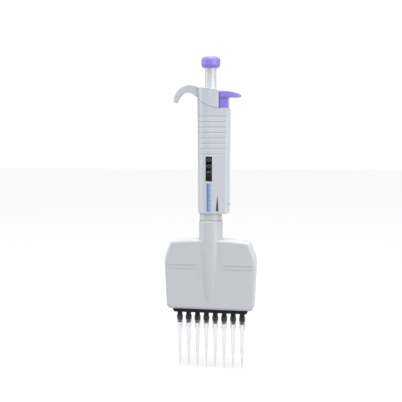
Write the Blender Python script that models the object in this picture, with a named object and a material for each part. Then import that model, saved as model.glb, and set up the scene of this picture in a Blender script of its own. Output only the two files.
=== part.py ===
"""Eight-channel hand pipette with its eight tips, modelled as the separate pieces it is assembled from.

Metres, +Z up. The plunger's axis is the Z axis and the tips' lower ends are at z = 0. The row of
nozzles runs along X, the finger hook points to -X, the ejector button to +X, and the counter window
faces -Y. Sizes inside are free choices that let the mechanism work; touching pieces keep a gap.
"""

import math

import bmesh
import bpy
from mathutils import Matrix, Vector

# Driving dimensions, in metres
GAP = 0.0003                # clearance between pieces that touch
CHANNELS = 8
CHANNEL_SIDES = 10          # facets round each bore, piston, nozzle and tip
PITCH = 0.009               # nozzle spacing, that of a standard well plate
STROKE = 0.015              # plunger travel to its first stop, the full 300 microlitres
EJECT = 0.008               # travel of the ejector button

# Tips and nozzles, heights from the tips' ends
TIP_TOP = 0.0517
TIP_RIM_R = 0.0032
TIP_WALL = 0.0005
NOZZLE_END = 0.0444
NOZZLE_R = 0.0025
BAR_BOTTOM = 0.0560
BAR_TOP = 0.0592

# Manifold: the wide lower housing
SHELL_BOTTOM = 0.0596
SHELL_TOP = 0.1296
SHELL_SHOULDER = 0.1272
SHELL_HALF_DEPTH = 0.0090
SHELL_WALL = 0.0018
NECK_R = 0.0117
NECK_TOP = 0.1480
SPIGOT_R = 0.0096
SPIGOT_BORE_R = 0.0087

# Handle
HANDLE_BOTTOM = 0.1551
SHELF = 0.2567              # flat top of the grip beside the cap
HANDLE_R = 0.0132           # round left side
HANDLE_RIGHT = 0.0188       # flat right side
HANDLE_CORNER_Y = 0.0100
HANDLE_CORNER_R = 0.0036
HANDLE_WALL = 0.0017
HANDLE_TAPER = 0.43         # loss of section per metre below the shelf
SEPTUM = (0.2118, 0.2148)   # inner floor that carries the volume nut
GROOVE_COUNT = 8
GROOVE_TOP = 0.2489
GROOVE_PITCH = 0.00516
GROOVE_DEPTH = 0.0006

# Cap and finger hook
CAP_RIGHT = 0.0090
CAP_TOP_RIGHT = 0.2748
CAP_TOP_MIDDLE = 0.2762
CAP_CEILING = 0.2734         # inside of the cap's top
STEM_GUIDE_R = 0.0078
STEM_GUIDE_BOTTOM = 0.2526
HOOK_HALF_WIDTH = 0.0065
HOOK_REST_Z = 0.2729        # flat underside by which the pipette hangs
HOOK_REST_X = (-0.0275, -0.0225)

# Plunger
BUTTON_Z = (0.2960, 0.3073)
BUTTON_R = 0.0092
STEM_R = 0.00555
STEM_BORE_R = 0.0042
STEM_BOTTOM = 0.2503
COLLAR_R = 0.0070
PUSH_ROD_R = 0.0020
PUSH_ROD_BOTTOM = 0.1717

# Volume setting and counter
SPINDLE_R = 0.0036
SPINDLE_BORE_R = 0.0024
SPINDLE_TOP = 0.2620
DRUM_R = 0.0050
WHEEL_R = 0.0105
WHEEL_BORE_R = 0.0054
WHEEL_HEIGHT = 0.0055
WHEEL_PITCH = 0.0059
WHEEL_TOP_Z = 0.2072        # middle of the units wheel
WINDOW_X = (-0.0030, 0.0032)
WINDOW_Z = (0.1866, 0.2102)
PINION_AT = (0.0104, 0.0066)
PINION_R = 0.0016

# Ejector
EJECT_X = 0.0136
EJECT_STEM_X = (0.0095, 0.0176)
EJECT_STEM_HALF_Y = 0.0045
EJECT_HEAD_Z = (0.2677, 0.2738)
EJECT_STEM_BOTTOM = 0.2450
EJECT_ROD_R = 0.0015
ARM_Z = (0.1668, 0.1693)
EJECT_TUBE_R = (0.0074, 0.0084)
EJECT_TUBE_BOTTOM = 0.1255
EJECT_TUBE_TOP = 0.1665
CROSSBAR_Z = (0.1142, 0.1180)
LEG_X = (0.0358, 0.0374)

# Pistons
PISTON_R = 0.00245
CYLINDER_R = 0.00275
BLOCK_Z = (0.0614, 0.0815)
SEAL_Z = (0.0818, 0.0834)
CROSSHEAD_Z = (0.1012, 0.1060)
DRIVE_ROD_R = 0.0030
SPRING_SEAT_R = 0.0058
SPRING_SEAT_Z = (0.1578, 0.1600)
GUIDE_R = (0.0061, 0.0071)
GUIDE_Z = (0.1190, 0.1575)
GUIDE_FLOOR = 0.1240
GUIDE_EAR_HALF_X = 0.0026    # ears that the two housing halves clamp
GUIDE_EAR_TOP = 0.1230

COLOURS = {
    "shell_grey": ((0.70, 0.72, 0.76), 0.42, 0.0),
    "button_violet": ((0.34, 0.27, 0.78), 0.40, 0.0),
    "stem_white": ((0.82, 0.83, 0.88), 0.22, 0.0),
    "dark_plastic": ((0.02, 0.02, 0.02), 0.45, 0.0),
    "inner_plastic": ((0.55, 0.56, 0.58), 0.50, 0.0),
    "window_clear": ((0.60, 0.62, 0.64), 0.08, 0.0),
    "tip_clear": ((0.86, 0.88, 0.90), 0.20, 0.0),
    "steel": ((0.55, 0.56, 0.57), 0.30, 1.0),
    "brass": ((0.70, 0.55, 0.25), 0.32, 1.0),
    "seal_rubber": ((0.06, 0.06, 0.06), 0.70, 0.0),
}


# Helpers

def clear_scene():
    for thing in list(bpy.data.objects):
        bpy.data.objects.remove(thing)


def make_materials():
    for name, (colour, roughness, metallic) in COLOURS.items():
        material = bpy.data.materials.new(name)
        material.use_nodes = True
        shader = material.node_tree.nodes["Principled BSDF"]
        shader.inputs["Base Color"].default_value = (*colour, 1.0)
        shader.inputs["Roughness"].default_value = roughness
        shader.inputs["Metallic"].default_value = metallic


def piece(name, mesh, material, origin=(0.0, 0.0, 0.0), parent=None):
    """Makes an object of a bmesh drawn in world coordinates, with its origin at the given point."""
    bmesh.ops.recalc_face_normals(mesh, faces=mesh.faces)
    mesh.transform(Matrix.Translation(-Vector(origin)))
    data = bpy.data.meshes.new(name)
    mesh.to_mesh(data)
    mesh.free()
    data.shade_smooth()
    data.set_sharp_from_angle(angle=math.radians(35))
    data.materials.append(bpy.data.materials[material])
    thing = bpy.data.objects.new(name, data)
    bpy.context.scene.collection.objects.link(thing)
    thing.location = origin
    if parent:
        thing.parent = parent
        thing.matrix_parent_inverse = Matrix.Translation(-parent.location)
    return thing


def joint_axis(name, at=(0.0, 0.0, 0.0), parent=None):
    """An empty on a joint's axis, for the pieces that move together."""
    empty = bpy.data.objects.new(name, None)
    empty.location = at
    empty.empty_display_size = 0.01
    bpy.context.scene.collection.objects.link(empty)
    if parent:
        empty.parent = parent
        empty.matrix_parent_inverse = Matrix.Translation(-parent.location)
    return empty


def loft(rings):
    """A closed body through rings of points, all with the same count, capped at both ends."""
    mesh = bmesh.new()
    loops = [[mesh.verts.new(point) for point in ring] for ring in rings]
    count = len(loops[0])
    for lower, upper in zip(loops, loops[1:]):
        for i in range(count):
            j = (i + 1) % count
            mesh.faces.new((lower[i], lower[j], upper[j], upper[i]))
    mesh.faces.new(loops[0])
    mesh.faces.new(loops[-1])
    return mesh


def prism(outline, low, high):
    """A flat outline of (x, y) points, carried up from one height to another."""
    return loft([[(x, y, z) for x, y in outline] for z in (low, high)])


def slab(outline, near, far):
    """A flat outline of (x, z) points, carried back along Y."""
    return loft([[(x, y, z) for x, z in outline] for y in (near, far)])


def box(low, high):
    corners = [(low[0], low[1]), (high[0], low[1]), (high[0], high[1]), (low[0], high[1])]
    return prism(corners, low[2], high[2])


def turned(profile, sides=16, at=(0.0, 0.0)):
    """A body turned about a vertical axis from (radius, z) points. A closed profile off the axis
    makes a ring; a profile that starts and ends at radius 0 makes a solid."""
    mesh = bmesh.new()
    solid = profile[0][0] == 0.0
    rings = []
    for radius, z in profile:
        if radius == 0.0:
            rings.append([mesh.verts.new((at[0], at[1], z))])
            continue
        turn = [2 * math.pi * i / sides for i in range(sides)]
        rings.append([
            mesh.verts.new((at[0] + radius * math.cos(a), at[1] + radius * math.sin(a), z))
            for a in turn
        ])
    pairs = list(zip(rings, rings[1:])) if solid else list(zip(rings, rings[1:] + rings[:1]))
    for first, second in pairs:
        for i in range(sides):
            j = (i + 1) % sides
            if len(first) == 1:
                mesh.faces.new((first[0], second[i], second[j]))
            elif len(second) == 1:
                mesh.faces.new((first[i], first[j], second[0]))
            else:
                mesh.faces.new((first[i], first[j], second[j], second[i]))
    return mesh


def rod(radius, low, high, sides=16, at=(0.0, 0.0)):
    return turned([(0.0, low), (radius, low), (radius, high), (0.0, high)], sides, at)


def tube(inner, outer, low, high, sides=16, at=(0.0, 0.0)):
    return turned([(inner, low), (outer, low), (outer, high), (inner, high)], sides, at)


def coil(mean_r, wire_r, low, high, turns, at=(0.0, 0.0)):
    """A spring wound from four-sided wire, its ends capped."""
    steps_per_turn, sides = 8, 4
    climb = high - low - 2 * wire_r
    steps = steps_per_turn * turns
    rings = []
    for step in range(steps + 1):
        angle = 2 * math.pi * step / steps_per_turn
        z = low + wire_r + climb * step / steps
        ring = []
        for side in range(sides):
            around = 2 * math.pi * side / sides
            r = mean_r + wire_r * math.cos(around)
            ring.append((
                at[0] + r * math.cos(angle),
                at[1] + r * math.sin(angle),
                z + wire_r * math.sin(around),
            ))
        rings.append(ring)
    return loft(rings)


def boolean(target, cutter_mesh, name, operation="DIFFERENCE"):
    """Cuts, joins or trims a piece with a hidden helper shape."""
    cutter = piece(name, cutter_mesh, "inner_plastic")
    cutter.hide_render = True
    cutter.display_type = "WIRE"
    modifier = target.modifiers.new(name, "BOOLEAN")
    modifier.operation = operation
    modifier.solver = "EXACT"
    modifier.object = cutter


def arc(centre, radius, start, end, steps):
    """Points of an arc, angles in degrees, both ends included."""
    points = []
    for i in range(steps + 1):
        a = math.radians(start + (end - start) * i / steps)
        points.append((centre[0] + radius * math.cos(a), centre[1] + radius * math.sin(a)))
    return points


def smooth_path(points, steps):
    """A Catmull-Rom curve through flat points."""
    out = []
    padded = [points[0], *points, points[-1]]
    for a, b, c, d in zip(padded, padded[1:], padded[2:], padded[3:]):
        for i in range(steps):
            t = i / steps
            out.append(tuple(
                0.5 * (2 * b[k] + (c[k] - a[k]) * t
                       + (2 * a[k] - 5 * b[k] + 4 * c[k] - d[k]) * t * t
                       + (3 * b[k] - a[k] - 3 * c[k] + d[k]) * t ** 3)
                for k in (0, 1)
            ))
    out.append(points[-1])
    return out


# Handle

def handle_section(z, inset=0.0):
    """The handle's outline at a height: a round left side, running to a flat right side."""
    scale = 1.0 - HANDLE_TAPER * max(0.0, SHELF - z)
    radius = HANDLE_R * scale - inset
    right = HANDLE_RIGHT * scale - inset
    corner_y = HANDLE_CORNER_Y * scale - inset
    corner_r = max(HANDLE_CORNER_R - inset, 0.0006)
    points = arc((0.0, 0.0), radius, 90, 270, 12)
    points += arc((right - corner_r, corner_r - corner_y), corner_r, 280, 360, 2)
    points += arc((right - corner_r, corner_y - corner_r), corner_r, 0, 80, 2)
    return points


def handle_ring(z, inset=0.0):
    return [(x, y, z) for x, y in handle_section(z, inset)]


def seam_points():
    """The curved joint line between the cap and the grip, from left to right."""
    return smooth_path([
        (-0.0140, 0.2686), (-0.0112, 0.2660), (-0.0064, 0.2625), (-0.0012, 0.2594), (0.0038, 0.2580),
        (CAP_RIGHT, 0.2571),
    ], 3)


def make_grip():
    top = 0.2800
    rings = [handle_ring(HANDLE_BOTTOM, 0.0005), handle_ring(HANDLE_BOTTOM + 0.0005)]
    for i in reversed(range(GROOVE_COUNT)):
        z = GROOVE_TOP - i * GROOVE_PITCH
        rings += [handle_ring(z - 0.0008), handle_ring(z, GROOVE_DEPTH), handle_ring(z + 0.0003)]
    rings += [handle_ring(SHELF), handle_ring(top)]
    grip = piece("grip_housing", loft(rings), "shell_grey")

    seam = seam_points()
    above = [(-0.0300, seam[0][1]), *seam, (CAP_RIGHT + GAP, SHELF), (0.0300, SHELF)]
    above += [(0.0300, 0.2900), (-0.0300, 0.2900)]
    boolean(grip, slab(above, -0.03, 0.03), "cut_grip_top")

    floor = HANDLE_BOTTOM + 0.0015
    lower = loft([handle_ring(z, HANDLE_WALL) for z in (floor, SEPTUM[0])])
    boolean(grip, lower, "cut_lower_hollow")
    upper = loft([handle_ring(z, HANDLE_WALL) for z in (SEPTUM[1], SHELF - 0.0018)])
    boolean(grip, upper, "cut_upper_hollow")
    open_side = prism(
        [(x, y) for x, y in handle_section(SHELF, HANDLE_WALL) if x < 0.0045], SHELF - 0.0030, top + 0.01)
    boolean(grip, open_side, "cut_cap_seat")
    boolean(grip, rod(0.0082, SHELF - 0.0030, top + 0.01, 24), "cut_guide_seat")
    boolean(grip, rod(0.0079, SEPTUM[0] - 0.001, SEPTUM[1] + 0.001, 24), "cut_nut_seat")
    rod_hole = rod(EJECT_ROD_R + GAP, SEPTUM[0] - 0.001, SEPTUM[1] + 0.001, 12, (EJECT_X, 0.0))
    boolean(grip, rod_hole, "cut_rod_hole")
    boolean(grip, rod(0.0109, HANDLE_BOTTOM - 0.001, floor + 0.001, 32), "cut_neck_hole")
    stem_hole = box(
        (EJECT_STEM_X[0] - GAP, -EJECT_STEM_HALF_Y - GAP, EJECT_STEM_BOTTOM - EJECT - GAP),
        (EJECT_STEM_X[1] + GAP, EJECT_STEM_HALF_Y + GAP, SHELF + 0.001),
    )
    boolean(grip, stem_hole, "cut_ejector_hole")
    window = box(
        (WINDOW_X[0], -0.0150, WINDOW_Z[0]),
        (WINDOW_X[1], -0.0080, WINDOW_Z[1]),
    )
    boolean(grip, window, "cut_window")
    plug_hole = rod(0.0014, 0.0150, 0.0200, 12)
    plug_hole.transform(Matrix.Rotation(math.radians(90), 4, "Y"))
    plug_hole.transform(Matrix.Translation((0.0, 0.0, 0.1640)))
    boolean(grip, plug_hole, "cut_plug_hole")
    return grip


def hook_outline():
    """The hook's side view: a curved finger rest that grows out of the cap's left side."""
    outer = smooth_path([
        (-0.0118, 0.2768), (-0.0135, 0.2784), (-0.0220, 0.2794), (-0.0295, 0.2762),
        (-0.0343, 0.2700), (-0.0360, 0.2632),
    ], 4)
    inner = [
        (-0.0345, 0.2629), (-0.0325, 0.2670), (-0.0298, 0.2710), (HOOK_REST_X[0], HOOK_REST_Z),
        (HOOK_REST_X[1], HOOK_REST_Z), (-0.0180, 0.2716), (-0.0148, 0.2694), (-0.0134, 0.2685),
        (-0.0118, 0.2700),
    ]
    return outer + inner


def make_cap():
    seam = [(x, z + GAP) for x, z in seam_points()]
    side = [(-0.0300, seam[0][1]), *seam, (CAP_RIGHT, CAP_TOP_RIGHT), (0.0, CAP_TOP_MIDDLE)]
    side.append((-0.0300, 0.2796))
    cap = piece("hook_cap", loft([handle_ring(0.2500), handle_ring(0.2900)]), "shell_grey")
    boolean(cap, slab(side, -0.03, 0.03), "trim_cap", "INTERSECT")
    inside = [(x, y) for x, y in handle_section(SHELF, HANDLE_WALL) if x < 0.0060]
    hollow = prism(inside, 0.2400, CAP_CEILING)
    boolean(cap, hollow, "cut_cap_hollow")
    boolean(cap, slab(hook_outline(), -HOOK_HALF_WIDTH, HOOK_HALF_WIDTH), "add_hook", "UNION")
    boolean(cap, rod(STEM_GUIDE_R, STEM_GUIDE_BOTTOM, CAP_CEILING + 0.0006, 24), "add_stem_guide", "UNION")
    boolean(cap, rod(STEM_R + GAP, 0.2400, 0.2900, 24), "cut_stem_bore")


def make_window_lens():
    """A clear strip with a curved face, let into the wall in front of the counter."""
    radius = HANDLE_R * (1.0 - HANDLE_TAPER * (SHELF - WINDOW_Z[0])) - 0.0002
    outline = []
    for x in (WINDOW_X[0] + GAP, 0.0, WINDOW_X[1] - GAP):
        outline.append((x, -math.sqrt(radius ** 2 - x ** 2)))
    outline += [(x, y + 0.0011) for x, y in reversed(outline)]
    piece("counter_window", prism(outline, WINDOW_Z[0] + GAP, WINDOW_Z[1] - GAP), "window_clear")


def make_side_plug():
    plug = turned([(0.0, 0.0165), (0.0011, 0.0165), (0.0011, 0.0182), (0.0008, 0.0184), (0.0, 0.0184)], 12)
    plug.transform(Matrix.Rotation(math.radians(90), 4, "Y"))
    plug.transform(Matrix.Translation((0.0, 0.0, 0.1640)))
    piece("side_plug", plug, "dark_plastic")


def make_neck_collar():
    inner = SPIGOT_R + GAP
    profile = [
        (inner, NECK_TOP + GAP), (NECK_R - 0.0004, NECK_TOP + GAP), (NECK_R, NECK_TOP + 0.0008),
        (NECK_R, HANDLE_BOTTOM - GAP), (0.0106, HANDLE_BOTTOM - GAP), (0.0106, HANDLE_BOTTOM + 0.0015),
        (inner, HANDLE_BOTTOM + 0.0015),
    ]
    piece("neck_collar", turned(profile, 32), "shell_grey")


def make_volume_nut():
    profile = [
        (SPINDLE_R + GAP, SEPTUM[0]), (0.0076, SEPTUM[0]), (0.0076, SEPTUM[1] + GAP),
        (0.0092, SEPTUM[1] + GAP), (0.0092, SEPTUM[1] + 0.0017), (SPINDLE_R + GAP, SEPTUM[1] + 0.0017),
    ]
    piece("volume_nut", turned(profile, 24), "brass")


# Counter

def wheel_height(place):
    """Middle of a counter place: 0 is the units wheel, at the top, and 3 the blank place."""
    return WHEEL_TOP_Z - place * WHEEL_PITCH


def make_counter_frame():
    bottom, top = WINDOW_Z[0] - 0.0020, WINDOW_Z[1] + 0.0012
    blank_top = wheel_height(3) + WHEEL_HEIGHT / 2
    drum = tube(WHEEL_BORE_R, WHEEL_R, bottom, blank_top, 24)
    frame = piece("counter_frame", drum, "dark_plastic")
    plate = tube(WHEEL_BORE_R, WHEEL_R, top - 0.0009, top, 24)
    boolean(frame, plate, "add_top_plate", "UNION")
    ear = [(0.0070, -0.0055), (0.0119, -0.0055), (0.0119, 0.0084), (0.0070, 0.0084)]
    boolean(frame, prism(ear, top - 0.0009, top), "add_top_ear", "UNION")
    boolean(frame, prism(ear, bottom, bottom + 0.0010), "add_bottom_ear", "UNION")
    boolean(frame, box((0.0108, -0.0050, bottom), (0.0119, -0.0012, top)), "add_pillar", "UNION")
    boolean(frame, rod(0.0008, bottom - 0.001, top + 0.001, 8, PINION_AT), "cut_axle_holes")
    boolean(frame, rod(WHEEL_BORE_R, bottom - 0.001, top + 0.001, 24), "cut_frame_bore")
    axle_top = top - 0.0001
    piece("pinion_axle", rod(0.0005, bottom + 0.0001, axle_top, 8, PINION_AT), "steel")


def make_wheels(spindle_axis):
    carriers = [spindle_axis, joint_axis("tens_axis"), joint_axis("hundreds_axis")]
    for place, (name, carrier) in enumerate(zip(("units_wheel", "tens_wheel", "hundreds_wheel"), carriers)):
        middle = wheel_height(place)
        low, high = middle - WHEEL_HEIGHT / 2, middle + WHEEL_HEIGHT / 2
        piece(name, tube(WHEEL_BORE_R, WHEEL_R, low, high, 24), "dark_plastic", parent=carrier)


def make_pinions():
    """Two toothed pinions, each straddling a pair of wheels to carry between them."""
    for number in (1, 2):
        middle = wheel_height(number - 0.5)
        outline = []
        for tooth in range(16):
            a = math.pi * tooth / 8
            r = PINION_R if tooth % 2 == 0 else PINION_R * 0.78
            outline.append((PINION_AT[0] + r * math.cos(a), PINION_AT[1] + r * math.sin(a)))
        origin = (PINION_AT[0], PINION_AT[1], middle)
        pinion = piece(
            f"carry_pinion_{number}", prism(outline, middle - 0.0014, middle + 0.0014), "brass", origin)
        boolean(pinion, rod(0.0008, middle - 0.002, middle + 0.002, 8, PINION_AT), f"cut_pinion_{number}")


def make_spindle(axis):
    drum = (WINDOW_Z[0] - 0.0016, WINDOW_Z[1] - 0.0002)
    profile = [
        (SPINDLE_BORE_R, drum[0]), (DRUM_R, drum[0]), (DRUM_R, drum[1]), (SPINDLE_R, drum[1]),
        (SPINDLE_R, SPINDLE_TOP), (SPINDLE_BORE_R, SPINDLE_TOP),
    ]
    piece("volume_spindle", turned(profile, 16), "steel", parent=axis)


# Plunger

def make_plunger(axis):
    low, high = BUTTON_Z
    r = BUTTON_R
    button = [
        (0.0, low + 0.0030), (STEM_R + GAP, low + 0.0030), (STEM_R + GAP, low), (r * 0.84, low),
        (r * 0.95, low + 0.0012), (r, low + 0.0035), (r, low + 0.0072), (r * 0.96, low + 0.0092),
        (r * 0.84, high - 0.0007), (r * 0.60, high), (0.0, high),
    ]
    piece("push_button", turned(button, 24), "button_violet", parent=axis)
    socket = 0.2903
    stem = [
        (0.0, socket), (PUSH_ROD_R + GAP, socket), (PUSH_ROD_R + GAP, 0.2840), (STEM_BORE_R, 0.2830),
        (STEM_BORE_R, STEM_BOTTOM), (COLLAR_R, STEM_BOTTOM), (COLLAR_R, STEM_BOTTOM + 0.0018),
        (STEM_R, STEM_BOTTOM + 0.0018), (STEM_R, low + 0.0027), (0.0, low + 0.0027),
    ]
    piece("plunger_stem", turned(stem, 24), "stem_white", parent=axis)
    piece("push_rod", rod(PUSH_ROD_R, PUSH_ROD_BOTTOM, socket - GAP, 12), "steel", parent=axis)


def make_blow_out():
    axis = joint_axis("blow_out_axis")
    cup_top = STEM_BOTTOM - GAP - STROKE
    cup_bottom = cup_top - 0.0030
    profile = [
        (STEM_BORE_R, cup_bottom), (0.0050, cup_bottom), (0.0050, cup_bottom + 0.0010),
        (0.0082, cup_bottom + 0.0010), (0.0082, cup_top), (STEM_BORE_R, cup_top),
    ]
    piece("blowout_cup", turned(profile, 20), "inner_plastic", parent=axis)
    spring_low = SEPTUM[1] + 0.0017 + GAP
    piece("blowout_spring", coil(0.0066, 0.0006, spring_low, cup_bottom + 0.0010 - GAP, 5), "steel")


# Ejector in the handle

def make_ejector_button():
    axis = joint_axis("ejector_axis", (EJECT_X, 0.0, 0.0))
    low, high = EJECT_HEAD_Z
    tip_x = 0.0300
    side = [
        (0.0094, low), (0.0280, low), (tip_x, low + 0.0010), (tip_x - 0.0008, low + 0.0028),
        (0.0240, low + 0.0045), (0.0190, low + 0.0056), (0.0120, high), (0.0097, high - 0.0008),
    ]
    button = piece("ejector_button", slab(side, -0.0056, 0.0056), "button_violet", parent=axis)
    taper = [
        (0.0050, -0.0060), (0.0190, -0.0060), (0.0270, -0.0046), (0.0305, -0.0020),
        (0.0305, 0.0020), (0.0270, 0.0046), (0.0190, 0.0060), (0.0050, 0.0060),
    ]
    boolean(button, prism(taper, 0.2600, 0.2800), "trim_ejector_head", "INTERSECT")
    stem = box(
        (EJECT_STEM_X[0], -EJECT_STEM_HALF_Y, EJECT_STEM_BOTTOM),
        (EJECT_STEM_X[1], EJECT_STEM_HALF_Y, low + 0.0010),
    )
    boolean(button, stem, "add_ejector_stem", "UNION")
    socket = rod(EJECT_ROD_R + GAP, EJECT_STEM_BOTTOM - 0.001, 0.2525, 12, (EJECT_X, 0.0))
    boolean(button, socket, "cut_rod_socket")
    rod_mesh = rod(EJECT_ROD_R, ARM_Z[0], 0.2522, 12, (EJECT_X, 0.0))
    piece("ejector_rod", rod_mesh, "steel", parent=axis)

    arm = piece("ejector_arm", rod(0.0087, *ARM_Z, 24), "inner_plastic", parent=axis)
    reach = EJECT_X + 0.0017
    side_arm = prism([(0.0050, -0.0032), (reach, -0.0032), (reach, 0.0032), (0.0050, 0.0032)], *ARM_Z)
    boolean(arm, side_arm, "add_arm", "UNION")
    boolean(arm, rod(0.0063, ARM_Z[0] - 0.001, ARM_Z[1] + 0.001, 24), "cut_arm_bore")
    hole = rod(EJECT_ROD_R + GAP, ARM_Z[0] - 0.001, ARM_Z[1] + 0.001, 12, (EJECT_X, 0.0))
    boolean(arm, hole, "cut_arm_hole")
    slit = box((reach - 0.0010, -0.0004, ARM_Z[0] - 0.001), (reach + 0.001, 0.0004, ARM_Z[1] + 0.001))
    boolean(arm, slit, "cut_arm_slit")
    spring = coil(0.0026, 0.0004, SEPTUM[1] + GAP, EJECT_STEM_BOTTOM - GAP, 9, (EJECT_X, 0.0))
    piece("ejector_spring", spring, "steel")


# Manifold

def shell_half_outline():
    """The right half of the lower housing's front view, from the top middle down to the bottom."""
    points = [(0.0, SHELL_TOP), (0.0200, SHELL_TOP - 0.0004), (0.0360, SHELL_SHOULDER + 0.0006)]
    points += arc((0.0372, SHELL_SHOULDER - 0.0022), 0.0026, 75, 20, 3)
    points += [(0.0440, 0.1145), (0.0451, 0.1095), (0.0453, 0.1040), (0.0446, 0.0880)]
    points += arc((0.0386, SHELL_BOTTOM + 0.0050), 0.0050, 5, -80, 4)
    points.append((0.0370, SHELL_BOTTOM))
    return points


def mirrored(half):
    return half + [(-x, z) for x, z in reversed(half) if x > 1e-6]


def shell_layer(y, inset):
    return [(x * (1 - inset / 0.045), y, z - math.copysign(min(inset, abs(z - 0.0955)), z - 0.0955))
            for x, z in mirrored(shell_half_outline())]


def clean(points):
    """Drops points that repeat the one before."""
    out = []
    for point in points:
        if not out or math.dist(point, out[-1]) > 1e-5:
            out.append(point)
    return out


def make_manifold(axis):
    depth = SHELL_HALF_DEPTH
    layers = [(-depth, 0.0024), (-depth + 0.0007, 0.0008), (-depth + 0.0024, 0.0)]
    layers += [(-y, inset) for y, inset in reversed(layers)]
    flange_top = HANDLE_BOTTOM + 0.0032
    ridge = [
        (0.0, 0.0640), (0.0089, 0.0640), (0.0102, 0.0750), (0.0108, 0.0900), (0.0113, 0.1050),
        (NECK_R, 0.1180), (NECK_R, NECK_TOP - 0.0004), (NECK_R - 0.0004, NECK_TOP), (SPIGOT_R, NECK_TOP),
        (SPIGOT_R, HANDLE_BOTTOM + 0.0018), (0.0106, HANDLE_BOTTOM + 0.0018), (0.0106, flange_top),
        (0.0, flange_top),
    ]
    inner_depth = depth - SHELL_WALL
    cavity = [(x * 0.955, z) for x, z in mirrored(shell_half_outline())]
    cavity = [(x, min(max(z, 0.0700), SHELL_SHOULDER - 0.0024)) for x, z in cavity]
    halves = (("manifold_front", -0.03, -GAP / 2), ("manifold_back", GAP / 2, 0.03))
    for name, near, far in halves:
        half = piece(name, loft([shell_layer(y, inset) for y, inset in layers]), "shell_grey", parent=axis)
        boolean(half, turned(ridge, 32), f"add_ridge_{name}", "UNION")
        boolean(half, slab(clean(cavity), -inner_depth, inner_depth), f"cut_cavity_{name}")
        mouth = box((-0.0380, -inner_depth, SHELL_BOTTOM - 0.002), (0.0380, inner_depth, 0.0720))
        boolean(half, mouth, f"cut_mouth_{name}")
        boolean(half, rod(SPIGOT_BORE_R, 0.1130, flange_top + 0.001, 32), f"cut_bore_{name}")
        keep = box((-0.06, near, 0.0500), (0.06, far, flange_top + 0.01))
        boolean(half, keep, f"keep_{name}", "INTERSECT")


def make_guide_tube(axis):
    """The fixed tube in the neck that holds the piston spring, carried on a cross-wall."""
    inner, outer = GUIDE_R
    low, high = GUIDE_Z
    profile = [
        (DRIVE_ROD_R + GAP, low), (outer, low), (outer, high), (inner, high),
        (inner, GUIDE_FLOOR), (DRIVE_ROD_R + GAP, GUIDE_FLOOR),
    ]
    guide = piece("guide_tube", turned(profile, 24), "inner_plastic", parent=axis)
    for side in (-1, 1):
        near, far = sorted((side * 0.0065, side * (SPIGOT_BORE_R - 0.0006)))
        ear = box((-GUIDE_EAR_HALF_X, near, low), (GUIDE_EAR_HALF_X, far, GUIDE_EAR_TOP))
        boolean(guide, ear, f"add_guide_ear_{'front' if side < 0 else 'back'}", "UNION")


def channel_places():
    return [(i - (CHANNELS - 1) / 2) * PITCH for i in range(CHANNELS)]


def make_cylinder_block(axis):
    low, high = BLOCK_Z
    half_x, half_y = 0.0354, SHELL_HALF_DEPTH - SHELL_WALL - GAP
    body = box((-half_x, -half_y, low), (half_x, half_y, high))
    block = piece("cylinder_block", body, "inner_plastic", parent=axis)
    seal_y = 0.0050
    strip = box((-half_x, -seal_y, SEAL_Z[0]), (half_x, seal_y, SEAL_Z[1]))
    seal = piece("seal_strip", strip, "seal_rubber", parent=axis)
    for number, x in enumerate(channel_places(), 1):
        bore = turned([
            (0.0, low - 0.001), (0.0033, low - 0.001), (0.0033, low + 0.0013), (CYLINDER_R, low + 0.0013),
            (CYLINDER_R, high + 0.001), (0.0, high + 0.001),
        ], CHANNEL_SIDES, (x, 0.0))
        boolean(block, bore, f"cut_cylinder_{number}")
        hole = rod(PISTON_R + 0.00015, SEAL_Z[0] - 0.001, SEAL_Z[1] + 0.001, CHANNEL_SIDES, (x, 0.0))
        boolean(seal, hole, f"cut_seal_{number}")


def make_nozzles(axis):
    """Black cones that take the tips; a flange holds each one in the cylinder block."""
    for number, x in enumerate(channel_places(), 1):
        profile = [
            (0.0010, NOZZLE_END), (0.0020, NOZZLE_END), (NOZZLE_R, TIP_TOP),
            (NOZZLE_R + 0.0001, BLOCK_Z[0] - 0.0004),
            (0.0030, BLOCK_Z[0] - 0.0004), (0.0030, BLOCK_Z[0] + 0.0010), (0.0010, BLOCK_Z[0] + 0.0010),
        ]
        piece(f"nozzle_{number}", turned(profile, CHANNEL_SIDES, (x, 0.0)), "dark_plastic", parent=axis)


def make_pistons(axis):
    low, high = CROSSHEAD_Z
    half_x, half_y = 0.0350, 0.0045
    beam = box((-half_x, -half_y, low), (half_x, half_y, high))
    crosshead = piece("crosshead", beam, "inner_plastic", parent=axis)
    drive_hole = rod(DRIVE_ROD_R - 0.0005 + GAP, low + 0.0015, high + 0.001, 16)
    boolean(crosshead, drive_hole, "cut_drive_hole")
    top = SPRING_SEAT_Z[1]
    drive = [
        (0.0, low + 0.0018), (DRIVE_ROD_R - 0.0005, low + 0.0018), (DRIVE_ROD_R - 0.0005, high + GAP),
        (DRIVE_ROD_R, high + GAP), (DRIVE_ROD_R, SPRING_SEAT_Z[0]), (SPRING_SEAT_R, SPRING_SEAT_Z[0]),
        (SPRING_SEAT_R, top), (DRIVE_ROD_R, top), (DRIVE_ROD_R, PUSH_ROD_BOTTOM - GAP),
        (0.0, PUSH_ROD_BOTTOM - GAP),
    ]
    piece("drive_rod", turned(drive, 16), "steel", parent=axis)
    for number, x in enumerate(channel_places(), 1):
        piston = rod(PISTON_R, BLOCK_Z[1] - 0.0015, low - GAP, CHANNEL_SIDES, (x, 0.0))
        piece(f"piston_{number}", piston, "steel", parent=axis)
    spring = coil(0.0047, 0.0006, GUIDE_FLOOR + GAP, SPRING_SEAT_Z[0] - GAP, 9)
    piece("piston_spring", spring, "steel")


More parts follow.
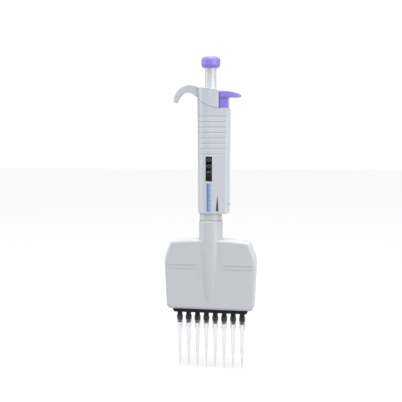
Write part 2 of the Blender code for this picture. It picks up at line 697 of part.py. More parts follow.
def make_ejector_frame(axis):
    """The sliding yoke in the manifold: a tube in the neck, two straps, a crossbar and two legs."""
    inner, outer = EJECT_TUBE_R
    sleeve = tube(inner, outer, EJECT_TUBE_BOTTOM, EJECT_TUBE_TOP, 32)
    frame = piece("ejector_frame", sleeve, "inner_plastic", parent=axis)
    slot = box(
        (-GUIDE_EAR_HALF_X - GAP, -0.0090, EJECT_TUBE_BOTTOM - 0.001),
        (GUIDE_EAR_HALF_X + GAP, 0.0090, GUIDE_EAR_TOP + EJECT + 2 * GAP),
    )
    boolean(frame, slot, "cut_guide_slots")
    low, high = CROSSBAR_Z
    for side, name in ((-1, "left"), (1, "right")):
        near, far = sorted((side * inner, side * outer))
        strap = box((near, -0.0017, high - 0.0005), (far, 0.0017, EJECT_TUBE_BOTTOM + 0.0010))
        boolean(frame, strap, f"add_strap_{name}", "UNION")
    half_y = 0.0048
    boolean(frame, box((-LEG_X[1], -half_y, low), (LEG_X[1], half_y, high)), "add_crossbar", "UNION")
    boolean(frame, rod(DRIVE_ROD_R + 0.0005, low - 0.001, high + 0.001, 16), "cut_crossbar_hole")
    for side, name in ((-1, "left"), (1, "right")):
        near, far = sorted((side * LEG_X[0], side * LEG_X[1]))
        leg = box((near, -half_y, BAR_TOP + GAP), (far, half_y, low + 0.0005))
        boolean(frame, leg, f"add_leg_{name}", "UNION")


def make_ejector_bar(axis):
    """The black plate that pushes on the rims of all eight tips."""
    half = [(0.0376, BAR_TOP), (0.0376, BAR_TOP - 0.0009), (0.0362, BAR_BOTTOM)]
    outline = mirrored(half)
    bar = piece("ejector_bar", slab(outline, -0.0056, 0.0056), "dark_plastic", parent=axis)
    for number, x in enumerate(channel_places(), 1):
        hole = rod(0.0030, BAR_BOTTOM - 0.001, BAR_TOP + 0.001, CHANNEL_SIDES, (x, 0.0))
        boolean(bar, hole, f"cut_bar_{number}")


def make_tips(axis):
    """Eight disposable tips: a ribbed collar, a long taper and a fine end."""
    outside = [
        (0.00045, 0.0), (0.00120, 0.0120), (0.00170, 0.0151), (0.00210, 0.0280), (0.00255, 0.0400),
        (0.00290, 0.0450), (TIP_RIM_R, TIP_TOP - 0.0010), (TIP_RIM_R, TIP_TOP),
    ]
    inside = [
        (TIP_RIM_R - TIP_WALL, TIP_TOP), (0.00242, 0.0450), (0.00205, 0.0400), (0.00160, 0.0280),
        (0.00120, 0.0160), (0.00022, 0.0),
    ]
    for number, x in enumerate(channel_places(), 1):
        piece(f"tip_{number}", turned(outside + inside, CHANNEL_SIDES, (x, 0.0)), "tip_clear", parent=axis)


clear_scene()
make_materials()

make_grip()
make_cap()
make_window_lens()
make_side_plug()
make_neck_collar()
make_volume_nut()
make_counter_frame()
spindle_axis = joint_axis("volume_axis")
make_spindle(spindle_axis)
make_wheels(spindle_axis)
make_pinions()
make_plunger(joint_axis("plunger_axis", parent=spindle_axis))
make_blow_out()
make_ejector_button()

manifold_axis = joint_axis("manifold_axis")
make_manifold(manifold_axis)
make_guide_tube(manifold_axis)
make_cylinder_block(manifold_axis)
make_nozzles(manifold_axis)
make_pistons(joint_axis("piston_axis", parent=manifold_axis))
lower_ejector_axis = joint_axis("lower_ejector_axis", parent=manifold_axis)
make_ejector_frame(lower_ejector_axis)
make_ejector_bar(lower_ejector_axis)
make_tips(joint_axis("tips_axis", parent=manifold_axis))
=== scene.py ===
"""The looks of an eight-channel hand pipette with its tips on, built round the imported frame.

Metres, +Z up: the plunger runs along the Z axis, the row of tips along X, and the counter window
faces -Y. The sections follow the pipette as it is put together, from the grip down to the tips.
"""

import math

import bmesh
import bpy
from mathutils import Matrix, Vector


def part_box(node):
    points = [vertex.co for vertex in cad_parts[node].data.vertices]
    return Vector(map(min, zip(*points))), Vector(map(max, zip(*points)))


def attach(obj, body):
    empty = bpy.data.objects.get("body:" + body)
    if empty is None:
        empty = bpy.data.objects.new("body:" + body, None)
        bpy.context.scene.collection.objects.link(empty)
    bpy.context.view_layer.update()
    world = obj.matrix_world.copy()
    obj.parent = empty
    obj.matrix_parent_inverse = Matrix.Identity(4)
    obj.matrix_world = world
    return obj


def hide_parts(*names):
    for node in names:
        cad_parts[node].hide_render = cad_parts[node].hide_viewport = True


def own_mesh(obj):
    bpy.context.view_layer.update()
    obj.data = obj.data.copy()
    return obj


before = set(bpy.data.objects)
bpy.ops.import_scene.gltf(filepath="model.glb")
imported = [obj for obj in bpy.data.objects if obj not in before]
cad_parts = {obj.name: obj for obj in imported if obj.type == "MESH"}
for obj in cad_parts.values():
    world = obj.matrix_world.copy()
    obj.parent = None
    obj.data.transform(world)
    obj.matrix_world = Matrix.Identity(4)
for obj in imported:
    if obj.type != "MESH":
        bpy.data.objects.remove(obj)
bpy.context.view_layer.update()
bpy.ops.object.select_all(action="DESELECT")


# Grip
# The moulded ABS handle that the hand closes round: a round back that runs into a flat side with a
# rounded corner, eight shallow finger grooves, and a window over the counter. It is one hollow shell.

GRIP_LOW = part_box("grip_housing")[0].z
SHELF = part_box("ejector_button")[0].z + 0.0117
GRIP_R = -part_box("grip_housing")[0].y
GRIP_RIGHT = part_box("grip_housing")[1].x
CORNER_Y = 0.0100
CORNER_R = 0.0036
GRIP_WALL = 0.0017
TAPER = 0.43                  # loss of section per metre below the shelf
GAP = 0.0003
GROOVES = 8
GROOVE_TOP = 0.2489
GROOVE_PITCH = 0.00516
GROOVE_DEPTH = 0.00036
GROOVE_END_X = 0.0170         # the grooves run out before the square corner
GROOVE_RUN_OUT = 0.0014
SEPTUM = (0.2118, 0.2148)
WINDOW_X = (-0.0030, 0.0032)
WINDOW_Z = (0.1866, 0.2102)


def arc(centre, radius, start, end, steps):
    """Points of an arc, angles in degrees, both ends included."""
    turn = [math.radians(start + (end - start) * i / steps) for i in range(steps + 1)]
    return [(centre[0] + radius * math.cos(a), centre[1] + radius * math.sin(a)) for a in turn]


def smooth_path(points, steps):
    """A curve through flat points."""
    out = []
    padded = [points[0], *points, points[-1]]
    for a, b, c, d in zip(padded, padded[1:], padded[2:], padded[3:]):
        for i in range(steps):
            t = i / steps
            out.append(tuple(
                0.5 * (2 * b[k] + (c[k] - a[k]) * t
                       + (2 * a[k] - 5 * b[k] + 4 * c[k] - d[k]) * t * t
                       + (3 * b[k] - a[k] - 3 * c[k] + d[k]) * t ** 3)
                for k in (0, 1)
            ))
    return [*out, points[-1]]


def lay_out(name, corners):
    """A filled circle whose corners are moved to an outline, left in edit mode ready to extrude."""
    bpy.ops.mesh.primitive_circle_add(vertices=len(corners), radius=0.01, fill_type="NGON")
    part = bpy.context.object
    part.name = part.data.name = name
    for vertex, corner in zip(part.data.vertices, corners):
        vertex.co = corner
    bpy.ops.object.mode_set(mode="EDIT")
    bpy.ops.mesh.select_all(action="SELECT")
    return part


def pull(*way):
    bpy.ops.mesh.extrude_region_move(TRANSFORM_OT_translate={"value": way})


def draw_in(x, y, z, centre=(0.0, 0.0, 0.0)):
    bpy.ops.transform.resize(value=(x, y, z), center_override=centre)


def pick(kind, test):
    """Selects the verts, edges or faces of the mesh in edit mode that pass a test."""
    bpy.ops.mesh.select_all(action="DESELECT")
    bpy.ops.mesh.select_mode(type={"verts": "VERT", "edges": "EDGE", "faces": "FACE"}[kind])
    mesh = bmesh.from_edit_mesh(bpy.context.object.data)
    mesh.normal_update()
    for element in getattr(mesh, kind):
        if test(element):
            element.select_set(True)
    mesh.select_flush_mode()
    bmesh.update_edit_mesh(bpy.context.object.data)


def close_up():
    """Leaves edit mode with doubles merged and every face pointing out."""
    bpy.ops.mesh.select_all(action="SELECT")
    bpy.ops.mesh.remove_doubles(threshold=1e-6)
    bpy.ops.mesh.delete_loose()
    bpy.ops.mesh.select_all(action="SELECT")
    bpy.ops.mesh.normals_make_consistent(inside=False)
    bpy.ops.object.mode_set(mode="OBJECT")


def open_up(part):
    """Puts a part alone into edit mode."""
    bpy.ops.object.select_all(action="DESELECT")
    part.select_set(True)
    bpy.context.view_layer.objects.active = part
    bpy.ops.object.mode_set(mode="EDIT")


def slab(name, outline, near, far):
    """A front-view outline of (x, z) points, extruded back along Y."""
    part = lay_out(name, [(x, near, z) for x, z in outline])
    pull(0.0, far - near, 0.0)
    close_up()
    return part


def block(name, low, high):
    size = [b - a for a, b in zip(low, high)]
    bpy.ops.mesh.primitive_cube_add(size=1.0, location=[(a + b) / 2 for a, b in zip(low, high)], scale=size)
    part = bpy.context.object
    part.name = part.data.name = name
    bpy.ops.object.transform_apply()
    return part


def turn(name, profile, sides=72, at=(0.0, 0.0)):
    """Spins a closed profile of (radius, z) points about a vertical line."""
    bpy.ops.mesh.primitive_circle_add(vertices=len(profile), radius=0.01, fill_type="NOTHING")
    part = bpy.context.object
    part.name = part.data.name = name
    for vertex, (radius, z) in zip(part.data.vertices, profile):
        vertex.co = (at[0] + radius, at[1], z)
    bpy.ops.object.mode_set(mode="EDIT")
    bpy.ops.mesh.select_all(action="SELECT")
    bpy.ops.mesh.spin(steps=sides, angle=2 * math.pi, center=(*at, 0.0), axis=(0.0, 0.0, 1.0))
    close_up()
    return part


def rod(name, radius, low, high, sides=48, at=(0.0, 0.0)):
    return turn(name, [(0.0, low), (radius, low), (radius, high), (0.0, high)], sides, at)


def use_modifier(part, kind, **settings):
    """Adds a modifier to a part and applies it."""
    bpy.ops.object.select_all(action="DESELECT")
    part.select_set(True)
    bpy.context.view_layer.objects.active = part
    modifier = part.modifiers.new(kind.lower(), kind)
    for name, value in settings.items():
        setattr(modifier, name, value)
    bpy.ops.object.modifier_apply(modifier=modifier.name)


def cut(part, cutter, operation="DIFFERENCE"):
    """Cuts, joins or trims a part with a second shape, which is used up."""
    use_modifier(part, "BOOLEAN", operation=operation, solver="EXACT", object=cutter)
    bpy.data.objects.remove(cutter)


def round_edges(width, segments=3):
    """Bevels the edges selected in edit mode."""
    bpy.ops.mesh.bevel(offset=width, segments=segments, profile=0.5, clamp_overlap=True)


def make_group(name, inputs, outputs):
    """An empty shader node group with named number and vector sockets."""
    group = bpy.data.node_groups.new(name, "ShaderNodeTree")
    for socket, kind, value in inputs:
        made = group.interface.new_socket(name=socket, in_out="INPUT", socket_type=kind)
        if value is not None:
            made.default_value = value
    for socket in outputs:
        group.interface.new_socket(name=socket, in_out="OUTPUT", socket_type="NodeSocketFloat")
    return group, group.nodes.new("NodeGroupInput"), group.nodes.new("NodeGroupOutput")


def noise(tree, vector, scale, detail=3.0, roughness=0.5):
    made = tree.nodes.new("ShaderNodeTexNoise")
    made.inputs["Scale"].default_value = scale
    made.inputs["Detail"].default_value = detail
    made.inputs["Roughness"].default_value = roughness
    tree.links.new(vector, made.inputs["Vector"])
    return made.outputs["Fac"]


def maths(tree, operation, first, second):
    """A Math node on two sockets or numbers."""
    node = tree.nodes.new("ShaderNodeMath")
    node.operation = operation
    for socket, value in zip(node.inputs, (first, second)):
        if isinstance(value, (int, float)):
            socket.default_value = value
        else:
            tree.links.new(value, socket)
    return node.outputs[0]


def spread(tree, value, low, high, to_low, to_high):
    """A Map Range node from one span to another."""
    node = tree.nodes.new("ShaderNodeMapRange")
    for name, number in (("From Min", low), ("From Max", high), ("To Min", to_low), ("To Max", to_high)):
        node.inputs[name].default_value = number
    tree.links.new(value, node.inputs["Value"])
    return node.outputs["Result"]


# Spark-eroded mould skin: a fine satin grain, slow flow marks, and faint handling smears
skin, skin_in, skin_out = make_group(
    "mould_skin",
    [
        ("Vector", "NodeSocketVector", None),
        ("Grain", "NodeSocketFloat", 1.0),
        ("Flow", "NodeSocketFloat", 1.0),
    ],
    ["Height", "Tone", "Smear"],
)
grain = noise(skin, skin_in.outputs["Vector"], 2600.0, 2.0, 0.5)
flow = noise(skin, skin_in.outputs["Vector"], 55.0, 2.0, 0.5)
smear = noise(skin, skin_in.outputs["Vector"], 60.0, 3.0, 0.55)
skin.links.new(maths(skin, "MULTIPLY", grain, skin_in.outputs["Grain"]), skin_out.inputs["Height"])
skin.links.new(maths(skin, "MULTIPLY", flow, skin_in.outputs["Flow"]), skin_out.inputs["Tone"])
skin.links.new(smear, skin_out.inputs["Smear"])


def plastic(name, colour, shade, roughness=(0.32, 0.46), grain_depth=0.000004, specular=0.5):
    """Moulded plastic whose colour drifts slightly to a second shade."""
    material = bpy.data.materials.new(name)
    material.use_nodes = True
    tree = material.node_tree
    shader = tree.nodes["Principled BSDF"]
    shader.inputs["IOR"].default_value = 1.5
    shader.inputs["Specular IOR Level"].default_value = specular
    place = tree.nodes.new("ShaderNodeTexCoord").outputs["Object"]
    surface = tree.nodes.new("ShaderNodeGroup")
    surface.node_tree = skin
    tree.links.new(place, surface.inputs["Vector"])
    drift = tree.nodes.new("ShaderNodeMix")
    drift.data_type = "RGBA"
    drift.inputs["A"].default_value = (*colour, 1.0)
    drift.inputs["B"].default_value = (*shade, 1.0)
    tree.links.new(spread(tree, surface.outputs["Tone"], 0.3, 0.7, 0.0, 1.0), drift.inputs["Factor"])
    tree.links.new(drift.outputs["Result"], shader.inputs["Base Color"])
    tree.links.new(spread(tree, surface.outputs["Smear"], 0.3, 0.7, *roughness), shader.inputs["Roughness"])
    bump = tree.nodes.new("ShaderNodeBump")
    bump.inputs["Strength"].default_value = 0.15
    bump.inputs["Distance"].default_value = grain_depth
    tree.links.new(surface.outputs["Height"], bump.inputs["Height"])
    tree.links.new(bump.outputs["Normal"], shader.inputs["Normal"])
    return material


def fit(part, body, material, replaces=(), angle=40):
    """Shades a finished part, gives it its material and puts it on its body."""
    part.data.validate()
    bpy.ops.object.select_all(action="DESELECT")
    part.select_set(True)
    bpy.context.view_layer.objects.active = part
    part.data.materials.clear()
    part.data.materials.append(material)
    bpy.ops.object.shade_smooth_by_angle(angle=math.radians(angle))
    use_modifier(part, "WEIGHTED_NORMAL", keep_sharp=True, weight=80)
    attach(part, body)
    if replaces:
        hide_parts(*replaces)


def grip_scale(z):
    return 1.0 - TAPER * max(0.0, SHELF - z)


def grip_outline(inset=0.0, steps=48):
    """The handle's section at the shelf, seen from above."""
    right = GRIP_RIGHT - inset
    corner_y = CORNER_Y - inset
    corner_r = max(CORNER_R - inset, 0.0006)
    points = arc((0.0, 0.0), GRIP_R - inset, 90, 270, steps)
    flat = arc((right - corner_r, corner_r - corner_y), corner_r, 280, 360, 8)
    steps_across = [i / 8 for i in range(1, 8)]
    start, end = points[-1], flat[0]
    across = [(start[0] + (end[0] - start[0]) * t, start[1] + (end[1] - start[1]) * t) for t in steps_across]
    back = [(x, -y) for x, y in reversed(across)]
    return points + across + flat + arc((right - corner_r, corner_y - corner_r), corner_r, 0, 80, 8) + back


def grip_prism(name, low, high, inset=0.0, keep=None):
    """The handle's section, or a smaller one inside its wall, carried up between two heights."""
    outline = [p for p in grip_outline(inset) if keep is None or keep(p)]
    s = grip_scale(low)
    part = lay_out(name, [(x * s, y * s, low) for x, y in outline])
    pull(0.0, 0.0, high - low)
    s = grip_scale(high) / s
    draw_in(s, s, 1.0)
    close_up()
    return part


def rise_to(z, last_z, deeper=0.0):
    """Carries the handle's open top up to a height; deeper draws its round side in by that much."""
    pull(0.0, 0.0, z - last_z)
    s = grip_scale(z) / grip_scale(last_z)
    draw_in(s, s, 1.0)
    if deeper:
        s = 1.0 - deeper / 2 / GRIP_R
        for end in (GROOVE_END_X, GROOVE_END_X - GROOVE_RUN_OUT):
            pick("verts", lambda v: abs(v.co.z - z) < 1e-6 and v.co.x < end)
            draw_in(s, s, 1.0)
        pick("verts", lambda v: abs(v.co.z - z) < 1e-6)
    return z


# The rings of one groove, from below: height over its bottom line, and depth
GROOVE_RINGS = [(-0.0017, 0.0), (-0.0010, 0.4), (-0.0003, 0.9), (0.0, 1.0), (0.0003, 0.75), (0.0006, 0.0)]

s = grip_scale(GRIP_LOW) * 0.965
grip = lay_out("grip_shell", [(x * s, y * s, GRIP_LOW) for x, y in grip_outline()])
ring_z = GRIP_LOW
for rise, share in ((0.0001, 0.985), (0.0003, 0.995), (0.0007, 1.0)):
    pull(0.0, 0.0, GRIP_LOW + rise - ring_z)
    ring_z = GRIP_LOW + rise
    new_s = grip_scale(ring_z) * share
    draw_in(new_s / s, new_s / s, 1.0)
    s = new_s
for groove in reversed(range(GROOVES)):
    depth_now = 0.0
    for rise, share in GROOVE_RINGS:
        depth = share * GROOVE_DEPTH
        ring_z = rise_to(GROOVE_TOP - groove * GROOVE_PITCH + rise, ring_z, depth - depth_now)
        depth_now = depth
rise_to(0.2800, rise_to(SHELF, ring_z))
close_up()

CAP_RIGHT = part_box("hook_cap")[1].x
seam = smooth_path([
    (-0.0140, 0.2686), (-0.0112, 0.2660), (-0.0064, 0.2625), (-0.0012, 0.2594), (0.0038, 0.2580),
    (CAP_RIGHT, 0.2571),
], 8)
above = [
    (-0.0300, seam[0][1]), *seam, (CAP_RIGHT + GAP, SHELF), (0.0300, SHELF),
    (0.0300, 0.2900), (-0.0300, 0.2900),
]
cut(grip, slab("above_grip", above, -0.03, 0.03))


def seam_height(x):
    """Height of the joint line between the cap and the grip."""
    for (x0, z0), (x1, z1) in zip(seam, seam[1:]):
        if x0 <= x <= x1:
            return z0 + (z1 - z0) * (x - x0) / (x1 - x0)
    return SHELF if x > CAP_RIGHT else seam[0][1]


open_up(grip)
pick("edges", lambda e: all(
    v.co.z > SHELF - 1e-5 and abs(v.co.z - seam_height(v.co.x)) < 2e-5 for v in e.verts)
     and e.calc_face_angle(0.0) > 0.9)
round_edges(0.00030, 3)
close_up()

FLOOR_Z = GRIP_LOW + 0.0015
cut(grip, grip_prism("lower_hollow", FLOOR_Z, SEPTUM[0], GRIP_WALL))
cut(grip, grip_prism("upper_hollow", SEPTUM[1], SHELF - 0.0018, GRIP_WALL))
cut(grip, grip_prism("cap_seat", SHELF - 0.0030, 0.2900, GRIP_WALL, lambda p: p[0] < 0.0045))
cut(grip, rod("guide_seat", 0.0082, SHELF - 0.0030, 0.2900, 48))
cut(grip, rod("nut_seat", 0.0079, SEPTUM[0] - 0.001, SEPTUM[1] + 0.001, 48))
cut(grip, rod("neck_hole", 0.0109, GRIP_LOW - 0.001, FLOOR_Z + 0.001, 72))

EJECT_X = 0.0136
EJECT_STEM_X = (0.0095, 0.0176)
EJECT_STEM_Y = 0.0045
EJECT_STROKE = 0.008
EJECT_STEM_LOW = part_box("ejector_button")[0].z
cut(grip, rod("rod_hole", 0.0018, SEPTUM[0] - 0.001, SEPTUM[1] + 0.001, 24, (EJECT_X, 0.0)))
cut(grip, block(
    "ejector_well",
    (EJECT_STEM_X[0] - GAP, -EJECT_STEM_Y - GAP, EJECT_STEM_LOW - EJECT_STROKE - GAP),
    (EJECT_STEM_X[1] + GAP, EJECT_STEM_Y + GAP, SHELF + 0.001),
))

# The window's opening flares out to the handle's surface, so its lips catch the light
WINDOW_LIP = 0.0007
WINDOW_Y = -GRIP_R * grip_scale(WINDOW_Z[0])
middle_x, middle_z = sum(WINDOW_X) / 2, sum(WINDOW_Z) / 2
opening = lay_out("window_opening", [(x, -0.0080, z) for x, z in (
    (WINDOW_X[0], WINDOW_Z[0]), (WINDOW_X[1], WINDOW_Z[0]),
    (WINDOW_X[1], WINDOW_Z[1]), (WINDOW_X[0], WINDOW_Z[1]))])
pull(0.0, WINDOW_Y + 0.0009 + 0.0080, 0.0)
pull(0.0, -0.0012, 0.0)
draw_in(
    1.0 + 2 * WINDOW_LIP / (WINDOW_X[1] - WINDOW_X[0]), 1.0,
    1.0 + 2 * WINDOW_LIP / (WINDOW_Z[1] - WINDOW_Z[0]),
    (middle_x, 0.0, middle_z))
close_up()
cut(grip, opening)
plug_hole = rod("plug_hole", 0.0014, 0.0150, 0.0200, 24)
plug_hole.data.transform(Matrix.Translation((0.0, 0.0, 0.1640)) @ Matrix.Rotation(math.radians(90), 4, "Y"))
cut(grip, plug_hole)

handle_grey = plastic("handle_grey", (0.545, 0.568, 0.622), (0.538, 0.561, 0.615), (0.266, 0.272))
fit(grip, "handle", handle_grey, ["grip_housing"], 32)


# Printed marks
# Two pad-printed marks on the handle's face: a blue graduated strip below the window and a slim dark
# wedge for the range of volumes. The ink is a thin raised film that follows the curved wall.

INK = 0.00004
FACE_SLOPE = 0.2057           # how the flat face leans back as it runs to the right corner


def face_y(x, z):
    """Where the handle's front surface lies."""
    radius = GRIP_R * grip_scale(z)
    return -math.sqrt(radius ** 2 - x ** 2) if x < 0 else -radius + FACE_SLOPE * x


def print_patch(name, x0, x1, z0, z1, lean=0.0):
    """A thin patch of ink; lean narrows its top."""
    bpy.ops.mesh.primitive_grid_add(x_subdivisions=8, y_subdivisions=3, size=1.0)
    patch = bpy.context.object
    patch.name = patch.data.name = name
    for vertex in patch.data.vertices:
        u, v = vertex.co.x + 0.5, vertex.co.y + 0.5
        half = (x1 - x0) / 2 * (1.0 - lean * v)
        x = (x0 + x1) / 2 + half * (2 * u - 1)
        z = z0 + (z1 - z0) * v
        vertex.co = (x, face_y(x, z) - INK, z)
    use_modifier(patch, "SOLIDIFY", thickness=INK * 1.5, offset=0.0)
    open_up(patch)
    close_up()
    return patch


def join(parts, name):
    """Joins parts that are one piece into one object."""
    bpy.ops.object.select_all(action="DESELECT")
    for part in parts:
        part.select_set(True)
    bpy.context.view_layer.objects.active = parts[0]
    bpy.ops.object.join()
    parts[0].name = parts[0].data.name = name
    return parts[0]


SCALE_X = (-0.0018, 0.0026)
SCALE_Z = (0.1575, 0.1838)
TICKS = 26
ticks = []
for tick in range(TICKS + 1):
    z = SCALE_Z[0] + (SCALE_Z[1] - SCALE_Z[0]) * tick / TICKS
    length = 1.0 if tick % 5 == 0 else 0.66
    right = SCALE_X[0] + 0.0005 + (SCALE_X[1] - SCALE_X[0] - 0.0005) * length
    ticks.append(print_patch("tick", SCALE_X[0], right, z, z + 0.00052))
ticks.append(print_patch("tick_line", SCALE_X[0], SCALE_X[0] + 0.0009, SCALE_Z[0], SCALE_Z[1] + 0.0005))
marks = join(ticks, "volume_scale")
backing = print_patch(
    "scale_backing", SCALE_X[0] - 0.0003, SCALE_X[1] + 0.0003, SCALE_Z[0] - 0.0008, SCALE_Z[1] + 0.0012)
backing.data.transform(Matrix.Translation((0.0, INK, 0.0)))
pale_ink = plastic("pale_blue_ink", (0.40, 0.50, 0.70), (0.43, 0.53, 0.72), (0.40, 0.55), 0.000004, 0.4)
fit(backing, "handle", pale_ink)
blue_ink = plastic("blue_ink", (0.070, 0.150, 0.380), (0.080, 0.170, 0.410), (0.40, 0.55), 0.000004, 0.4)
fit(marks, "handle", blue_ink)
wedge = print_patch("range_wedge", 0.0068, 0.0096, 0.1577, 0.1722, 0.88)
dark_ink = plastic("dark_ink", (0.055, 0.055, 0.070), (0.070, 0.070, 0.085), (0.45, 0.60), 0.000004, 0.4)
fit(wedge, "handle", dark_ink)


# Hook cap
# The handle's top with its finger hook, moulded in one piece. It is pushed into the grip along an
# S-shaped seam, and inside it a tube guides the plunger's stem.

STEM_R = 0.00555
CAP_TOP_RIGHT = 0.2748
CAP_TOP_MIDDLE = 0.2762
HOOK_HALF = 0.0065
CAP_CEILING = 0.2734

cap = grip_prism("cap_shell", 0.2500, 0.2900)
side_view = [(-0.0300, seam[0][1] + GAP), *[(x, z + GAP) for x, z in seam]]
side_view += [(CAP_RIGHT, CAP_TOP_RIGHT), (0.0, CAP_TOP_MIDDLE), (-0.0300, 0.2796)]
cut(cap, slab("cap_side_view", side_view, -0.03, 0.03), "INTERSECT")


def cap_top(x):
    """Height of the cap's top, which falls from the hook to the right."""
    if x > 0:
        return CAP_TOP_MIDDLE + (CAP_TOP_RIGHT - CAP_TOP_MIDDLE) * x / CAP_RIGHT
    return CAP_TOP_MIDDLE + (0.2796 - CAP_TOP_MIDDLE) * x / -0.0300


def on_cap_rim(edge):
    return edge.calc_face_angle(0.0) > 0.6 and all(abs(v.co.z - cap_top(v.co.x)) < 2e-5 for v in edge.verts)


def on_cap_corner(edge):
    ends = [v.co for v in edge.verts]
    return all(abs(p.x - CAP_RIGHT) < 1e-6 for p in ends) and abs(ends[0].z - ends[1].z) > 0.002


open_up(cap)
pick("edges", on_cap_corner)
round_edges(0.0014, 5)
pick("edges", on_cap_rim)
round_edges(0.0007, 4)
pick("edges", lambda e: all(abs(v.co.z - GAP - seam_height(v.co.x)) < 3e-5 for v in e.verts)
     and e.calc_face_angle(0.0) > 0.9)
round_edges(0.00025, 3)
close_up()

hook_crest = smooth_path([
    (-0.0118, 0.2768), (-0.0135, 0.2784), (-0.0220, 0.2794), (-0.0295, 0.2762), (-0.0343, 0.2700),
    (-0.0360, 0.2632),
], 7)
hook_inside = smooth_path([
    (-0.0345, 0.2629), (-0.0325, 0.2670), (-0.0298, 0.2706), (-0.0275, 0.2726), (-0.0250, 0.2731),
    (-0.0225, 0.2729), (-0.0180, 0.2714), (-0.0148, 0.2694), (-0.0134, 0.2685),
], 5)
hook = slab("hook", [*hook_crest, *hook_inside, (-0.0118, 0.2700)], -HOOK_HALF, HOOK_HALF)


def hook_rim(edge, crest):
    """Picks the rims of the hook's two flat sides, along its crest or along its inside."""
    near, far = (v.co.y for v in edge.verts)
    if abs(near - far) > 1e-6 or abs(abs(near) - HOOK_HALF) > 1e-6:
        return False
    wall = [f.normal for f in edge.link_faces if abs(f.normal.y) < 0.5]
    return bool(wall) and (wall[0].dot(Vector((-0.6, 0.0, 0.8))) > 0) == crest


open_up(hook)
pick("edges", lambda e: hook_rim(e, True))
round_edges(0.0016, 6)
pick("edges", lambda e: hook_rim(e, False))
round_edges(0.0004, 3)
close_up()
cut(cap, grip_prism("cap_hollow", 0.2400, CAP_CEILING, GRIP_WALL, lambda p: p[0] < 0.0060))
cut(cap, hook, "UNION")
cut(cap, rod("stem_guide", 0.0078, 0.2526, CAP_CEILING + 0.0004, 60), "UNION")
cut(cap, rod("stem_bore", STEM_R + GAP, 0.2400, 0.2900, 60))
fit(cap, "handle", handle_grey, ["hook_cap"], 32)


# Window lens
# A clear polycarbonate strip let into the wall in front of the counter, glossy on its curved face.

lens_r = GRIP_R * grip_scale(WINDOW_Z[0]) - 0.0002
across = [WINDOW_X[0] + GAP + (WINDOW_X[1] - WINDOW_X[0] - 2 * GAP) * i / 10 for i in range(11)]
face = [(x, -math.sqrt(lens_r ** 2 - x ** 2)) for x in across]
lens_low, lens_high = WINDOW_Z[0] + GAP, WINDOW_Z[1] - GAP
lens_back = [(x, y + 0.0011) for x, y in reversed(face)]
lens = lay_out("window_lens", [(x, y, lens_low) for x, y in face + lens_back])
pull(0.0, 0.0, lens_high - lens_low)
close_up()


def clear(name, colour, roughness, ior, haze_depth, transmission=1.0):
    """Clear moulded plastic with a faint uneven haze."""
    material = bpy.data.materials.new(name)
    material.use_nodes = True
    tree = material.node_tree
    shader = tree.nodes["Principled BSDF"]
    shader.inputs["Base Color"].default_value = (*colour, 1.0)
    shader.inputs["Transmission Weight"].default_value = transmission
    shader.inputs["IOR"].default_value = ior
    surface = tree.nodes.new("ShaderNodeGroup")
    surface.node_tree = skin
    tree.links.new(tree.nodes.new("ShaderNodeTexCoord").outputs["Object"], surface.inputs["Vector"])
    tree.links.new(spread(tree, surface.outputs["Smear"], 0.3, 0.7, *roughness), shader.inputs["Roughness"])
    bump = tree.nodes.new("ShaderNodeBump")
    bump.inputs["Strength"].default_value = 0.2
    bump.inputs["Distance"].default_value = haze_depth
    tree.links.new(surface.outputs["Tone"], bump.inputs["Height"])
    tree.links.new(bump.outputs["Normal"], shader.inputs["Normal"])
    return material


window_clear = clear("window_clear_plastic", (0.80, 0.81, 0.84), (0.02, 0.06), 1.20, 0.00001)
fit(lens, "handle", window_clear, ["counter_window"], 40)


# Plug and neck collar
# A black plug closes the calibration port low on the handle's flat side, and a grey collar closes the
# gap between the handle and the neck that turns in it.

PLUG_Z = 0.1640
plug_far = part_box("side_plug")[1].x
plug = turn("port_plug", [
    (0.0, plug_far - 0.0019), (0.0011, plug_far - 0.0019), (0.0011, plug_far - 0.0003),
    (0.0010, plug_far - 0.0001),
    (0.0008, plug_far), (0.0005, plug_far), (0.0003, plug_far - 0.0003), (0.0, plug_far - 0.0003),
], 32)
plug.data.transform(Matrix.Translation((0.0, 0.0, PLUG_Z)) @ Matrix.Rotation(math.radians(90), 4, "Y"))
black_plastic = plastic(
    "black_plastic", (0.006, 0.006, 0.007), (0.010, 0.010, 0.011), (0.34, 0.50), 0.000004, 0.2)
fit(plug, "handle", black_plastic, ["side_plug"])

collar_low, collar_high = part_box("neck_collar")
NECK_R = collar_high.x
COLLAR_INSET = 0.0006
collar_r = NECK_R - COLLAR_INSET
collar = turn("collar", [
    (0.0099, collar_low.z), (collar_r, collar_low.z), (collar_r, GRIP_LOW - GAP), (0.0106, GRIP_LOW - GAP),
    (0.0106, collar_high.z), (0.0099, collar_high.z),
], 96)
housing_grey = plastic("housing_grey", (0.530, 0.549, 0.578), (0.524, 0.543, 0.572), (0.266, 0.272))
fit(collar, "handle", housing_grey, ["neck_collar"])


# Counter
# Three number wheels on the volume spindle's drum, read through the window: hundreds at the bottom,
# units at the top. The wheels are black acetal and the figures are printed on their rims.

WHEEL_R = 0.0105
WHEEL_BORE = 0.0054
FIGURE_SIZE = 0.0062
FIGURE_FILM = 0.00010
SHOWN = {"units_wheel": 0, "tens_wheel": 0, "hundreds_wheel": 3}
WHEEL_BODY = {
    "units_wheel": "volume_setting", "tens_wheel": "tens_counter", "hundreds_wheel": "hundreds_counter",
}


